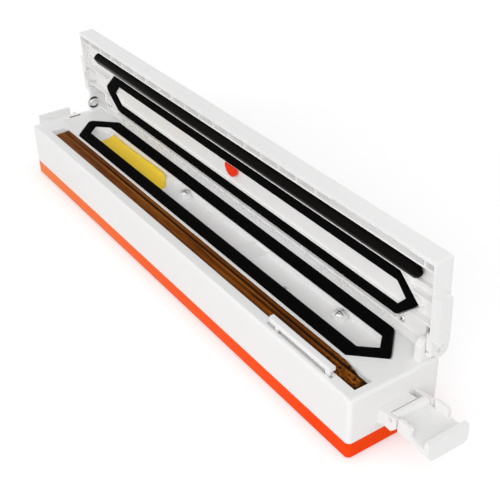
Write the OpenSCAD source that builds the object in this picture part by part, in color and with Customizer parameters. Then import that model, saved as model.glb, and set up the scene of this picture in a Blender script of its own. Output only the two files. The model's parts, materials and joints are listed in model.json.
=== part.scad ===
// Vacuum sealer for food bags: a long low housing with a heater strip and a vacuum channel on its
// deck, under a lid that swings on two pins at the back and is held shut by a latch at each end.
// X runs along the length, -Y is the front, +Y the hinge side, +Z is up.
// The origin is on the worktop, under the middle of the housing.

/* [Housing] */
// Length of the housing
body_l = 345; // [335:1:360]
// Depth of the housing, front to back
body_d = 54.3; // [54:0.1:58]
// Height of the deck above the underside of the base tray
body_h = 34.5; // [33:0.5:38]
// Height of the base tray's side band
base_h = 8.6; // [7:0.2:9]
// Wall thickness of the housing and the tray
wall = 2.2; // [2:0.1:2.4]
// Thickness of the deck
deck_t = 2.5; // [2.2:0.1:3]
// Radius of the housing's upright corners
corner_r = 2.5; // [2:0.5:5]
// Radius of the deck's front and end edges
edge_r = 1.8; // [1:0.1:2.2]
// Radius of the deck's back edge, under the lid's swing
back_r = 4.5; // [3:0.1:5]
// Height of the rubber feet and of the raised panel between them
foot_h = 1.2; // [0.8:0.1:2]

/* [Heater] */
// Gap from the left end of the housing to the heater trough
trough_left = 17; // [14:0.5:20]
// Gap from the right end of the housing to the heater trough
trough_right = 5; // [4:0.2:7]
// Distance from the front face to the heater trough
trough_in = 6.75; // [6.6:0.05:7]
// Width of the heater trough
trough_w = 10.5; // [9:0.1:10.8]
// Depth of the heater trough
trough_h = 3.4; // [3:0.1:4]
// Diameter of the heating wire
wire_d = 0.9; // [0.6:0.1:1.1]
// Thickness of the cloth tape over the heating wire
tape_t = 0.3; // [0.2:0.05:0.4]

/* [Vacuum channel] */
// Gap from the left end of the housing to the deck gasket's tip
ring_left = 18.5; // [17:0.5:22]
// Gap from the right end of the housing to the deck gasket's tip
ring_right = 11.5; // [10:0.5:14]
// Distance from the trough to the deck gasket
ring_in = 1.7; // [1.5:0.1:2]
// Gap from the back face of the housing to the deck gasket
ring_back = 4.75; // [4.6:0.05:6]
// Width of the deck gasket's band
ring_w = 7.5; // [6:0.1:8]
// Height of the deck gasket above the deck
ring_h = 1.6; // [1.2:0.1:1.8]
// Depth of the groove that holds the deck gasket
groove_h = 1.2; // [0.8:0.1:1.4]
// Depth of the vacuum channel
channel_h = 4; // [3.4:0.1:4.6]
// Bore of the suction port
port_r = 1.6; // [1.2:0.1:2]

/* [Lid] */
// Angle of the open lid from the closed pose
lid_open = 88; // [80:1:92]
// Height of the hinge axis above the deck
axis_up = 6.9; // [6.9:0.1:7.6]
// Distance of the hinge axis from the back face
axis_in = 2.85; // [2.6:0.05:3.4]
// Overhang of the lid past each end of the housing
lid_over = 1.8; // [1.2:0.1:2.4]
// Distance of the lid's front face behind the housing's front face
lid_in = 1.15; // [0.8:0.05:1.4]
// Distance of the lid's back face behind the hinge axis
lid_tail = 3; // [2.6:0.1:3.2]
// Height of the lid from its rim to its outer face
lid_h = 10.5; // [10.3:0.1:12]
// Gap between the closed lid's rim and the deck
lid_gap = 0.8; // [0.6:0.1:1]
// Thickness of the lid's top
lid_t = 1.8; // [1.6:0.1:2]
// Thickness of the lid's front wall
lid_front_t = 2.8; // [2.4:0.1:3]
// Pitch of the ribs behind the lid's front wall
rib_pitch = 15.6; // [12:0.2:20]
// Thickness of the lid's ribs
rib_t = 1.1; // [0.9:0.1:1.4]
// How far the lid gasket stays below the rim
seal_in = 1.1; // [1.1:0.1:1.4]
// Width of the press strip
strip_w = 7.5; // [6:0.1:8]
// Height of the press strip past the rim
strip_out = 1.1; // [0.6:0.1:1.1]

/* [Hinge and latches] */
// Radius of the hinge pins
pin_r = 1.8; // [1.4:0.1:2]
// Thickness of the hinge posts
post_t = 4; // [3.4:0.1:4.4]
// Radius of the lid's hinge ears
ear_r = 4.8; // [4.2:0.1:5]
// Thickness of the end pads that the latches hold
pad_h = 7.2; // [6.4:0.1:7.4]
// Reach of the end pads past the lid's end
pad_out = 4; // [3.6:0.1:4.2]
// Width of the latches
latch_w = 23.7; // [20:0.1:24]
// Distance of the latch pivot from the housing's end
latch_out = 8.3; // [8:0.1:8.6]
// Radius of the latch pins
latch_pin_r = 1.2; // [1:0.1:1.3]

/* [Start lever] */
// Length of the start lever's bar
lever_l = 48; // [40:1:56]
// Distance from the start lever's pivot to the right end of the housing
lever_in = 20.5; // [19:0.5:26]
// Width of the start lever's bar
lever_w = 3.7; // [3:0.1:3.8]

/* [Hidden] */
$fn = 48;

// Clearances: fixed pieces in their seats, sliding pieces, running pins, and free gaps
fit_gap = 0.15;
slide_gap = 0.1;
run_gap = 0.06;
free_gap = 0.5;
eps = 0.01;
// How far the round joints of a bent wire or tube stand past its sides
bend_extra = 0.06;
// Radius of the walls' inner upright corners
inner_r = 1.2;

// Levels of the deck and of the joint between tray and housing
deck_z = foot_h + body_h;
joint_z = foot_h + base_h;
floor_z = foot_h + wall;
x_end = body_l / 2;
y_front = -body_d / 2;
y_back = body_d / 2;

// Heater trough
trough_x0 = -x_end + trough_left;
trough_x1 = x_end - trough_right;
trough_y0 = y_front + trough_in;
trough_y1 = trough_y0 + trough_w;
trough_wall = 1.8;
bed_t = 1.6;
wire_y = trough_y0 + trough_w * 0.61;
bed_z = deck_z - trough_h;
wire_z = bed_z + bed_t + wire_d / 2;
tape_in = 5;

// Deck gasket and vacuum channel: pointed rings given as [x0, x1, y0, y1, left tip, right tip]
ring_y0 = trough_y1 + ring_in;
ring_y1 = y_back - ring_back;
ring_tip = 15.5;
ring_out_hex = [-x_end + ring_left, x_end - ring_right, ring_y0, ring_y1, ring_tip,
    ring_tip - 0.5];
ring_in_hex = [-x_end + ring_left + ring_w + 2, x_end - ring_right - ring_w - 0.5,
    ring_y0 + ring_w, ring_y1 - ring_w, ring_tip / 2, ring_tip / 2 - 0.6];
channel_lip = 0.8;
channel_wall = 2;
channel_floor_z = deck_z - channel_h;
channel_screw_x = [-x_end + 142, x_end - 53.8];
channel_post_r = 4;
channel_screw_y = ring_in_hex[3] - channel_post_r - 0.5;
channel_post_z = deck_z - 0.9;
rest_block_x = [x_end - 126.5];
port_x = x_end - 90.5;
port_y = ring_in_hex[2] + channel_lip + port_r + 1.5;

// Housing screws and their posts
screw_r = 1.5;
screw_head_r = 3.2;
post_r = 3.4;
base_screw_x = [-x_end + 14.5, 5, x_end - 14.5];
base_screw_y = [y_front + 9.5, y_back - 8.5];
boss_z = 12;

// Feet and resting panel
foot_r = 5;
foot_x = x_end - 30;
foot_y = y_back - 11;
panel_l = 120;
panel_d = 24;

// Hinge
axis_y = y_back - axis_in;
axis_z = deck_z + axis_up;
rim_drop = axis_up - lid_gap;
post_x1 = x_end - 2.1;
post_x0 = post_x1 - post_t;
post_y0 = axis_y - 8.8;
ear_x0 = post_x1 + free_gap;
slot_reach = 9.8;
pad_y1 = axis_y - 6.6;
hinge_screw_r = 4.4;
hinge_screw_t = 1.5;
hinge_screw_y = post_y0 + 1.9;
hinge_screw_z = axis_z + 0.8;
left_notch = 11;
left_reach = axis_y - hinge_screw_y + hinge_screw_r + 0.5;
// How far the lid's back rim is set in, to pass over the deck gasket
rim_sweep_r = norm([axis_y - ring_y1, axis_up - ring_h]) - 0.25;
back_trim = rim_drop - sqrt(rim_sweep_r * rim_sweep_r - lid_tail * lid_tail);

// Lid, in its closed pose: y as in the housing, z counted up from the rim
lid_x = x_end + lid_over;
lid_y0 = y_front + lid_in;
lid_y1 = axis_y + lid_tail;
lid_end_t = 1.8;
liner_z = 4.5;
liner_t = 1.5;
liner_x = lid_x - lid_end_t - fit_gap;
liner_y0 = lid_y0 + lid_front_t + fit_gap;
liner_y1 = lid_y1 - 2 - fit_gap;
pad_y0 = -7.3;
rib_in = 0.9;
rib_shift = 10;
strip_y = trough_y0 + trough_w / 2 + 1.6;
strip_corner = 3;
strip_foot = 2.4;
strip_rib_y = [strip_y - strip_w / 2 - 0.9, strip_y + strip_w / 2 + 1];
strip_x0 = -x_end + 19.1;
strip_x1 = x_end - 9.1;
seal_out_hex = [-x_end + 25.5, x_end - 9.7, ring_y0 + 1.1, ring_y1 - 4.2, 15, 13.5];
seal_in_hex = [-x_end + 38.9, x_end - 17.2, ring_y0 + 6.8, ring_y1 - 10.3, 7, 6];
seal_t = 3.2;
// Height of the walls that the lid gasket sits between
seat_z = seal_in + 1.2;
valve_x = 8.6;
valve_y = ring_y0 + 8.8;
valve_r = 5.6;
valve_flat_y = ring_y0 + 7.8;
stem_y = valve_y + 2;
field_z = 3.6;
valve_travel = 1;
stem_r = 2.2;
cap_r = 5.6;
key_x = [-x_end + 34.5, -x_end + 54.5];
key_y = 2;
key_r = 4.9;
key_travel = 0.6;
key_out = 0.8;
lid_screw_x = [-x_end + 22.5, -60, 75, x_end - 22.5];
lid_screw_y = seal_out_hex[3] + 2.8;

// Start lever
lever_x1 = x_end - lever_in + 1.5;
lever_x0 = lever_x1 - lever_l;
lever_pivot_x = x_end - lever_in;
lever_y = y_front + 5.3;
lever_z0 = deck_z + 1.8;
lever_t = 2.4;
lever_pin_r = 0.8;
lever_pin_z = deck_z - 1.9;
lug_t = 1.2;
lug_y = trough_y0 - trough_wall - lug_t / 2 - 0.4;

// Lid switch
tab_x = -x_end + 4.1;
tab_y0 = ring_y0 + 9;
tab_y1 = tab_y0 + 6;
tab_t = 0.8;
tab_down = 2.4;

// Latches, about their pivot
pivot_x = x_end + latch_out;
pivot_z = foot_h + 21.4;
latch_y0 = -10;
latch_y1 = latch_y0 + latch_w;
ear_t = 2;
ear_nose_r = 3.6;
barrel_r = 2.6;
hub_gap = 3.4;
hook_reach = deck_z + lid_gap + pad_h + 0.6 - pivot_z;

// Pump and electrics
pump_y = 10;
pump_z = 16.5;
motor_r = 11;
motor_x0 = x_end - 134.5;
motor_l = 34;
shaft_r = 1.2;
throw_r = 6;
throw_off = 1.5;
throw_t = 5;
head_x0 = x_end - 86.5;
head_l = 22;
gland_x = -x_end + 42;
gland_z = joint_z + 8;
gland_r = 3.2;
head_d = 20;
head_h = 21;
core_x0 = -x_end + 22.5;
core_y0 = y_front + 9.15;
core_l = 38;
core_d = 34;
core_h = 22;
coil_in = [6, 22];
coil_w = 6;
coil_h = 11;
coil_lift = 5.5;
board_x0 = -x_end + 76.5;
board_y0 = y_front + wall + 1.6;
board_l = 80;
board_d = 23;
board_t = 1.6;
board_lift = 6.8;
board_leg_r = 2.6;
board_leg_x = [board_x0 + 4, board_x0 + board_l - 4];
board_leg_y = [board_y0 + 3.4, board_y0 + board_d - 3.6];

module housing_color() color([0.93, 0.93, 0.92]) children();
module orange_color() color([0.95, 0.3, 0.08]) children();
module gasket_color() color([0.05, 0.05, 0.05]) children();
module metal_color() color([0.75, 0.76, 0.78]) children();

// Rectangle with round corners, centred
module rounded_rect(l, d, r) {
    square([l - 2 * r, d], center = true);
    square([l, d - 2 * r], center = true);
    for (sx = [-1, 1], sy = [-1, 1])
        translate([sx * (l / 2 - r), sy * (d / 2 - r)])
            circle(r);
}

// Upright section with round top corners, from x = 0 to w
module top_rounded(w, h, r0, r1) {
    square([r0, h - r0]);
    translate([w - r1, 0])
        square([r1, h - r1]);
    translate([r0, 0])
        square([w - r0 - r1, h]);
    translate([r0, h - r0])
        circle(r0);
    translate([w - r1, h - r1])
        circle(r1);
}

// Block with round upright corners and round top edges, standing on z = 0
module soft_block(l, d, h, r, r_front, r_back, r_end) {
    intersection() {
        linear_extrude(h)
            rounded_rect(l, d, r);
        translate([-l / 2, -d / 2, 0])
            rotate([90, 0, 90])
                linear_extrude(l)
                    top_rounded(d, h, r_front, r_back);
        translate([-l / 2, d / 2, 0])
            rotate([90, 0, 0])
                linear_extrude(d)
                    top_rounded(l, h, r_end, r_end);
    }
}

// Cylinder along X or along Y, from its start point
module rod_x(r, l) rotate([0, 90, 0]) cylinder(r = r, h = l);
module rod_y(r, l) rotate([-90, 0, 0]) cylinder(r = r, h = l);

// Outline of a pointed ring, grown by g
function hex_points(h, g = 0) = let (ym = (h[2] + h[3]) / 2) [
    [h[0] - g, ym], [h[0] + h[4] - g / 2, h[2] - g], [h[1] - h[5] + g / 2, h[2] - g],
    [h[1] + g, ym], [h[1] - h[5] + g / 2, h[3] + g], [h[0] + h[4] - g / 2, h[3] + g]];

// Wire or tube through a list of points, with round joints
module tube_path(points, r) {
    for (i = [0 : len(points) - 2]) {
        step = points[i + 1] - points[i];
        len_s = norm(step);
        turn = [0, acos(step[2] / len_s), atan2(step[1], step[0])];
        translate(points[i]) {
            rotate(turn)
                cylinder(r = r, h = len_s, $fn = 24);
            sphere(r + bend_extra, $fn = 24);
        }
    }
    translate(points[len(points) - 1])
        sphere(r + bend_extra, $fn = 24);
}

// Cross recess of a screw head, cut downwards from z = 0
module cross_recess(l, w, h) {
    for (a = [0, 90])
        rotate(a)
            translate([-l / 2, -w / 2, -h])
                cube([l, w, h + 1]);
}

// Puts a piece drawn in the closed lid, with z from the rim, into the lid's open pose
module lid_pose() {
    translate([0, axis_y, axis_z])
        rotate([-lid_open, 0, 0])
            translate([0, -axis_y, -rim_drop])
                children();
}

// ---- Base tray and what fastens it ----

module base_tray() {
    orange_color()
        difference() {
            union() {
                difference() {
                    translate([0, 0, foot_h])
                        linear_extrude(base_h)
                            rounded_rect(body_l, body_d, corner_r);
                    translate([0, 0, floor_z])
                        linear_extrude(base_h)
                            rounded_rect(body_l - 2 * wall, body_d - 2 * wall, inner_r);
                }
                difference() {
                    lip_l = body_l - 2 * wall - 2 * fit_gap;
                    lip_d = body_d - 2 * wall - 2 * fit_gap;
                    translate([0, 0, floor_z - eps])
                        linear_extrude(base_h - wall + 2)
                            rounded_rect(lip_l, lip_d, inner_r);
                    translate([0, 0, floor_z - 1])
                        linear_extrude(base_h + 4)
                            rounded_rect(lip_l - 2.4, lip_d - 2.4, 2);
                }
                linear_extrude(foot_h + eps)
                    rounded_rect(panel_l, panel_d, 4);
                for (x = channel_screw_x)
                    translate([x, channel_screw_y, floor_z - eps])
                        cylinder(r = channel_post_r,
                            h = channel_floor_z - deck_t - floor_z - fit_gap);
                for (x = [motor_x0 + 6, motor_x0 + motor_l - 8])
                    translate([x, pump_y - 9, floor_z - eps])
                        cube([4, 18, pump_z - motor_r - floor_z + 1.6]);
            }
            for (x = base_screw_x, y = base_screw_y)
                translate([x, y, foot_h - 1]) {
                    cylinder(r = screw_r + slide_gap, h = base_h);
                    cylinder(r = screw_head_r + slide_gap, h = 2.1);
                }
            for (sx = [-1, 1], sy = [-1, 1])
                translate([sx * foot_x, sy * foot_y, foot_h - 1])
                    cylinder(r = foot_r + 0.05, h = 2);
            for (x = channel_screw_x)
                translate([x, channel_screw_y, floor_z + 6])
                    cylinder(r = screw_r + 0.05, h = body_h);
            translate([motor_x0 - 1, pump_y, pump_z])
                rod_x(motor_r + 0.05, motor_l + 2);
        }
}

module rubber_feet() {
    gasket_color()
        for (sx = [-1, 1], sy = [-1, 1])
            translate([sx * foot_x, sy * foot_y, 0])
                cylinder(r = foot_r, h = foot_h + 1);
}

module base_screws() {
    metal_color()
        for (x = base_screw_x, y = base_screw_y)
            translate([x, y, foot_h + 0.1])
                difference() {
                    union() {
                        cylinder(r = screw_head_r, h = 1);
                        cylinder(r = screw_r, h = boss_z + 6 - foot_h);
                    }
                    rotate([180, 0, 0])
                        cross_recess(3.4, 0.8, 0.7);
                }
}

// ---- Upper housing ----

// Hinge post on the right; the left one is its mirror image
module hinge_post() {
    translate([post_x0, post_y0, deck_z - 1])
        rotate([90, 0, 90])
            linear_extrude(post_t)
                top_rounded(y_back - back_r + 4.2 - post_y0, axis_up + ear_r + 1, 4.6, 2.8);
}

// Side section of a latch bracket, from the housing's end to x1 and about the latch pivot
module bracket_section(x1) {
    polygon([[-latch_out - 1, -8.9], [-latch_out - 1, 0.1], [x1, 0.1 + (x1 + 9.3) * 0.17],
        [x1, -3.2], [min(x1, 0.5), -6.6], [-4, -6.6]]);
}

// Two ears, and between them a block that stops short of the latch's barrel
module latch_bracket() {
    for (y = [latch_y0, latch_y1 - ear_t])
        translate([pivot_x, y + ear_t, pivot_z])
            rotate([90, 0, 0])
                linear_extrude(ear_t)
                    bracket_section(ear_nose_r);
    translate([pivot_x, latch_y1 - ear_t - hub_gap, pivot_z])
        rotate([90, 0, 0])
            linear_extrude(latch_w - 2 * ear_t - hub_gap + eps)
                difference() {
                    bracket_section(-1.6);
                    circle(barrel_r + 0.3);
                }
}

module deck_recesses() {
    // Heater trough and the holes of its terminals
    translate([trough_x0, trough_y0, bed_z])
        cube([trough_x1 - trough_x0, trough_w, trough_h + 1]);
    for (x = [trough_x0 + 4, trough_x1 - 4])
        translate([x, wire_y, bed_z - 5])
            cylinder(r = 1.3, h = 6);
    // Gasket groove and vacuum channel
    difference() {
        translate([0, 0, deck_z - groove_h])
            linear_extrude(groove_h + 1)
                polygon(hex_points(ring_out_hex, fit_gap));
        translate([0, 0, deck_z - groove_h - 1])
            linear_extrude(groove_h + 3)
                polygon(hex_points(ring_in_hex, -fit_gap));
    }
    difference() {
        translate([0, 0, channel_floor_z])
            linear_extrude(channel_h + 1)
                polygon(hex_points(ring_in_hex, -channel_lip));
        for (x = rest_block_x)
            translate([x - 6.5, ring_in_hex[2], channel_floor_z - 1])
                cube([13, ring_y1 - ring_y0, 3.2]);
        for (x = channel_screw_x)
            translate([x, channel_screw_y, channel_floor_z - 1])
                cylinder(r1 = channel_post_r + 0.3, r2 = channel_post_r,
                    h = channel_post_z - channel_floor_z + 1);
    }
    for (x = channel_screw_x)
        translate([x, channel_screw_y, channel_floor_z - 4])
            cylinder(r = screw_r + 0.05, h = 10);
    translate([port_x, port_y, channel_floor_z - 4])
        cylinder(r = port_r + 1.25, h = 6);
    // Slot for the lid's switch tab
    translate([tab_x - tab_t / 2 - 0.3, tab_y0 - 1.8, deck_z - 5])
        cube([tab_t + 0.6, tab_y1 - tab_y0 + 2.6, 6]);
    // Shallow patch beside the slot
    translate([tab_x + 1.6, tab_y0 - 6.8, deck_z - 0.4])
        cube([15, 15, 1]);
    // Slots for the start lever's lug and stem
    translate([lever_pivot_x - 3, lug_y - lug_t / 2 - 0.35, deck_z - 5])
        cube([6, lug_t + 0.7, 6]);
    translate([lever_x0 + 5, lug_y - lug_t / 2 - 0.35, deck_z - 5])
        cube([4, lug_t + 0.7, 6]);
    translate([lever_pivot_x, y_front + 1, lever_pin_z])
        rod_y(lever_pin_r, trough_in - 1 - trough_wall + 0.9);
    // Shallow seat under the lever's bar
    translate([lever_x0 - 1, lever_y - lever_w / 2 - 0.3, deck_z - 1.1])
        cube([lever_pivot_x - lever_x0 - 2, lever_w + 0.6, 3]);
}

module upper_housing() {
    housing_color()
        difference() {
            union() {
                difference() {
                    translate([0, 0, joint_z])
                        soft_block(body_l, body_d, body_h - base_h, corner_r, edge_r, back_r,
                            edge_r);
                    translate([0, 0, joint_z - 1])
                        linear_extrude(body_h - base_h - deck_t + 1)
                            rounded_rect(body_l - 2 * wall, body_d - 2 * wall, inner_r);
                }
                // Stiffening inside the round back edge
                translate([-x_end + 6, y_back - wall - 2.4, deck_z - deck_t - 2.6])
                    cube([body_l - 12, 2.5, 2.7]);
                // Underside of the trough
                translate([trough_x0 - trough_wall, trough_y0 - trough_wall,
                    bed_z - trough_wall])
                    cube([trough_x1 - trough_x0 + trough_wall + 1, trough_w + 2 * trough_wall,
                        trough_h]);
                // Underside of the vacuum channel
                translate([0, 0, channel_floor_z - deck_t])
                    linear_extrude(channel_h)
                        polygon(hex_points(ring_in_hex, channel_wall));
                // Screw bosses down to the tray
                for (x = base_screw_x, y = base_screw_y)
                    translate([x, y, boss_z])
                        cylinder(r = post_r, h = deck_z - deck_t - boss_z + 0.5);
                for (m = [0, 1])
                    mirror([m, 0, 0]) {
                        hinge_post();
                        latch_bracket();
                    }
            }
            deck_recesses();
            for (x = base_screw_x, y = base_screw_y)
                translate([x, y, boss_z - 1])
                    cylinder(r = screw_r + 0.05, h = 9);
            for (m = [0, 1])
                mirror([m, 0, 0]) {
                    translate([post_x0 + 0.8, axis_y, axis_z])
                        rod_x(pin_r, post_t);
                    translate([pivot_x, latch_y0 - 1, pivot_z])
                        rod_y(latch_pin_r, latch_w + 2);
                }
            translate([-post_x0 - 3, hinge_screw_y, hinge_screw_z])
                rod_x(1.2, 4);
            translate([gland_x, y_back - wall - 1, gland_z])
                rod_y(gland_r + 1.6, wall + 2);
        }
}

// ---- Heater ----

module heater_bed() {
    color([0.82, 0.78, 0.7])
        difference() {
            translate([trough_x0 + fit_gap, trough_y0 + fit_gap, bed_z])
                cube([trough_x1 - trough_x0 - 2 * fit_gap, trough_w - 2 * fit_gap, bed_t]);
            for (x = [trough_x0 + 4, trough_x1 - 4])
                translate([x, wire_y, bed_z - 1])
                    cylinder(r = 1.3, h = 4);
        }
}

module heating_element() {
    metal_color()
        translate([trough_x0 + 4, wire_y, wire_z + 0.02])
            rod_x(wire_d / 2, trough_x1 - trough_x0 - 8);
}

module heater_tape() {
    flat = trough_w - 0.6;
    bump = wire_d + 0.3;
    color([0.45, 0.24, 0.05])
        difference() {
            translate([trough_x0 + tape_in, trough_y0 + 0.3, bed_z + bed_t + 0.02]) {
                cube([trough_x1 - trough_x0 - tape_in - 0.6, flat, tape_t]);
                translate([0, wire_y - trough_y0 - 0.3, 0])
                    rod_x(wire_d / 2 + wire_d / 2 + tape_t, trough_x1 - trough_x0 - tape_in - 0.6);
            }
            translate([trough_x0, trough_y0 - 1, bed_z - 2])
                cube([body_l, trough_w + 2, bed_t + 2.02]);
            translate([trough_x0, wire_y, wire_z - wire_d / 2 + 0.02])
                rod_x(bump - 0.18, body_l);
        }
}

module heater_terminals() {
    metal_color()
        for (x = [trough_x0 + 4, trough_x1 - 4])
            translate([x, wire_y, bed_z - 6])
                difference() {
                    union() {
                        cylinder(r = 0.85, h = bed_t + wire_d / 2 + 6.05);
                        cylinder(r = 2.2, h = 2);
                    }
                    translate([-4, 0, wire_z + 0.02 - bed_z + 6])
                        rod_x(wire_d / 2, 8);
                }
}

// Leads from the two ends of the wire, along the front wall and in under the circuit board
module heater_leads() {
    low = floor_z + 3;
    top = bed_z - 7.1;
    run_y = y_front + wall + 3.2;
    board_y = board_y0 + 11.4;
    color([0.7, 0.08, 0.06])
        for (run = [[trough_x0 + 4, board_x0 - 8, board_x0 + 12],
                [trough_x1 - 4, board_x0 + board_l + 6, board_x0 + board_l - 12]])
            tube_path([[run[0], wire_y, top], [run[0], wire_y, low + 8], [run[0], run_y, low],
                [run[1], run_y, low], [run[1], board_y, low], [run[2], board_y, low],
                [run[2], board_y, low + 2.4]], 0.9);
}

// ---- Vacuum channel ----

module lower_gasket() {
    gasket_color()
        translate([0, 0, deck_z - groove_h])
            linear_extrude(groove_h + ring_h)
                difference() {
                    offset(r = 1.5, $fn = 32)
                        offset(delta = -1.5)
                            polygon(hex_points(ring_out_hex));
                    offset(r = 0.4, $fn = 32)
                        offset(delta = -0.4)
                            polygon(hex_points(ring_in_hex));
                }
}

module channel_screws() {
    metal_color()
        for (x = channel_screw_x)
            translate([x, channel_screw_y, channel_post_z + 0.02])
                difference() {
                    union() {
                        intersection() {
                            translate([0, 0, -5.4])
                                sphere(6.8);
                            cylinder(r = 3.2, h = 3);
                        }
                        translate([0, 0, -18])
                            cylinder(r = screw_r, h = 18.4);
                    }
                    translate([0, 0, 1.4])
                        cross_recess(4.4, 0.7, 1);
                }
}

module channel_label() {
    x0 = -x_end + 43.5;
    y0 = ring_in_hex[2] + channel_lip + 0.4;
    y1 = ring_in_hex[3] - channel_lip - 0.3;
    color([0.98, 0.82, 0.2])
        translate([0, 0, channel_floor_z + 0.01])
            linear_extrude(0.3)
                polygon([[x0, y0], [x0, y1], [x0 + 60, y1], [x0 + 82, y0 + 6.5], [x0 + 86, y0]]);
}

module suction_port() {
    gasket_color()
        translate([port_x, port_y, 0])
            difference() {
                union() {
                    translate([0, 0, channel_floor_z - deck_t - 3])
                        cylinder(r = port_r + 1.2, h = deck_t + 3.3);
                    translate([0, 0, channel_floor_z - deck_t - 1.2])
                        cylinder(r = port_r + 2.2, h = 1.18);
                }
                translate([0, 0, channel_floor_z - 9])
                    cylinder(r = port_r, h = 12);
            }
}

module vacuum_tube() {
    top = channel_floor_z - deck_t - 3.1;
    inlet_z = channel_floor_z - deck_t - 11.1;
    tube_r = 2.6;
    color([0.75, 0.78, 0.75])
        difference() {
            tube_path([[port_x, port_y, top], [port_x, port_y - 8.2, top - 4],
                [head_x0 + 11, port_y - 8.2, inlet_z], [head_x0 + 11, pump_y - 12.8, inlet_z]],
                tube_r);
            translate([port_x, port_y, top])
                cylinder(r = tube_r + 1, h = 4);
        }
}

// ---- Pump ----

module pump_motor() {
    metal_color()
        translate([motor_x0, pump_y, pump_z])
            difference() {
                union() {
                    rod_x(motor_r, motor_l);
                    translate([motor_l - eps, 0, 0])
                        rod_x(3.5, 2);
                }
                translate([motor_l - 12, 0, 0])
                    rod_x(shaft_r + run_gap, 16);
            }
}

module motor_shaft() {
    metal_color()
        translate([motor_x0 + motor_l - 11, pump_y, pump_z])
            rod_x(shaft_r, 22);
}

module motor_eccentric() {
    color([0.2, 0.2, 0.22])
        translate([motor_x0 + motor_l + 3, pump_y, pump_z])
            difference() {
                translate([0, 0, -throw_off])
                    rod_x(throw_r, throw_t);
                translate([-1, 0, 0])
                    rod_x(shaft_r, throw_t + 2);
            }
}

module pump_rod() {
    ring_in_r = throw_r + throw_off + 0.4;
    color([0.85, 0.85, 0.8])
        translate([motor_x0 + motor_l + 3.6, pump_y, pump_z])
            difference() {
                union() {
                    rod_x(ring_in_r + 1.6, 3.6);
                    translate([0, -2.5, -11.4])
                        cube([3.6, 5, 4]);
                    translate([0, -7, -11.6])
                        cube([3.6, 14, 1.6]);
                }
                translate([-1, 0, 0])
                    rod_x(ring_in_r, 6);
            }
}

module pump_head() {
    color([0.16, 0.17, 0.19])
        difference() {
            translate([head_x0, pump_y - head_d / 2, floor_z + 0.02])
                cube([head_l, head_d, head_h]);
            translate([head_x0 + head_l / 2, pump_y - head_d / 2 - 1, channel_floor_z - deck_t - 11.1])
                rod_y(2, 12);
        }
}

// ---- Electrics ----

module circuit_board() {
    color([0.1, 0.35, 0.16])
        difference() {
            translate([board_x0, board_y0, floor_z + board_lift])
                cube([board_l, board_d, board_t]);
            for (x = board_leg_x, y = board_leg_y)
                translate([x, y, floor_z])
                    cylinder(r = 1.5, h = 12);
        }
    housing_color()
        for (x = board_leg_x, y = board_leg_y)
            translate([x, y, floor_z + 0.02])
                union() {
                    cylinder(r = board_leg_r, h = board_lift - 0.02);
                    cylinder(r = 1.45, h = board_lift + board_t + 0.4);
                }
}

module board_components() {
    top = floor_z + board_lift + board_t + 0.02;
    color([0.12, 0.12, 0.14])
        translate([board_x0, board_y0 + 2.4, top]) {
            for (x = [12, 23])
                translate([x, 6, 0])
                    cylinder(r = 4, h = 9);
            translate([36, 2, 0])
                cube([14, 12, 9]);
            translate([board_l - 24, 4, 0])
                cube([12, 8, 2]);
        }
}

module transformer_core() {
    color([0.35, 0.35, 0.38])
        difference() {
            translate([core_x0, core_y0, floor_z + 0.02])
                cube([core_l, core_d, core_h]);
            for (y = coil_in)
                translate([core_x0 - 1, core_y0 + y, floor_z + coil_lift])
                    cube([core_l + 2, coil_w, coil_h]);
        }
}

module transformer_coil() {
    color([0.75, 0.45, 0.15])
        for (y = coil_in)
            translate([core_x0 + 2, core_y0 + y + fit_gap, floor_z + coil_lift + 0.2])
                cube([core_l - 4, coil_w - 2 * fit_gap, coil_h - 0.4]);
}

module lid_switch() {
    color([0.12, 0.12, 0.14])
        difference() {
            translate([tab_x - 1.9, tab_y0 - 3, deck_z - 17])
                cube([6, 13, 8]);
            translate([tab_x - 1.1, tab_y0 + 1.4, deck_z - 13])
                cube([2.2, 3.2, 5]);
        }
}

module switch_plunger() {
    color([0.85, 0.2, 0.15])
        translate([tab_x - 1, tab_y0 + 1.5, deck_z - 11])
            cube([2, 3, 11 - tab_down - 0.9]);
}

module start_switch() {
    color([0.12, 0.12, 0.14])
        translate([lever_x0 + 1, y_front + wall + 0.3, deck_z - 15])
            cube([13, 6, 6]);
}

module start_lever() {
    housing_color()
        difference() {
            union() {
                // Bar with a blunt left end and round lengthwise edges
                intersection() {
                    translate([lever_x0, lever_y - lever_w / 2, lever_z0])
                        rotate([90, 0, 90])
                            linear_extrude(lever_l)
                                top_rounded(lever_w, lever_t, 0.7, 0.5);
                    translate([0, lever_y, lever_z0 - 1])
                        linear_extrude(lever_t + 2)
                            polygon([[lever_x0 + 1.2, -lever_w / 2], [lever_x0, 1 - lever_w / 2],
                                [lever_x0, lever_w / 2 - 0.3], [lever_x0 + 0.3, lever_w / 2],
                                [lever_x1, lever_w / 2], [lever_x1, -lever_w / 2]]);
                }
                // Lug on the pivot pin
                translate([lever_pivot_x, lug_y - lug_t / 2, lever_pin_z])
                    rod_y(1.7, lug_t);
                translate([lever_pivot_x - 1.4, lug_y - lug_t / 2, lever_pin_z])
                    cube([2.8, lug_t, lever_z0 - lever_pin_z + 1]);
                // Stem over the switch
                translate([lever_x0 + 6, lug_y - lug_t / 2, deck_z - 6.2])
                    cube([2, lug_t, lever_z0 - deck_z + 6.2 + 0.5]);
            }
            translate([lever_pivot_x, lug_y - 2, lever_pin_z])
                rod_y(lever_pin_r + run_gap, 4);
        }
}

module lever_pin() {
    metal_color()
        translate([lever_pivot_x, y_front + 1.1, lever_pin_z])
            rod_y(lever_pin_r, trough_in - 1 - trough_wall + 0.7);
}

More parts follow.
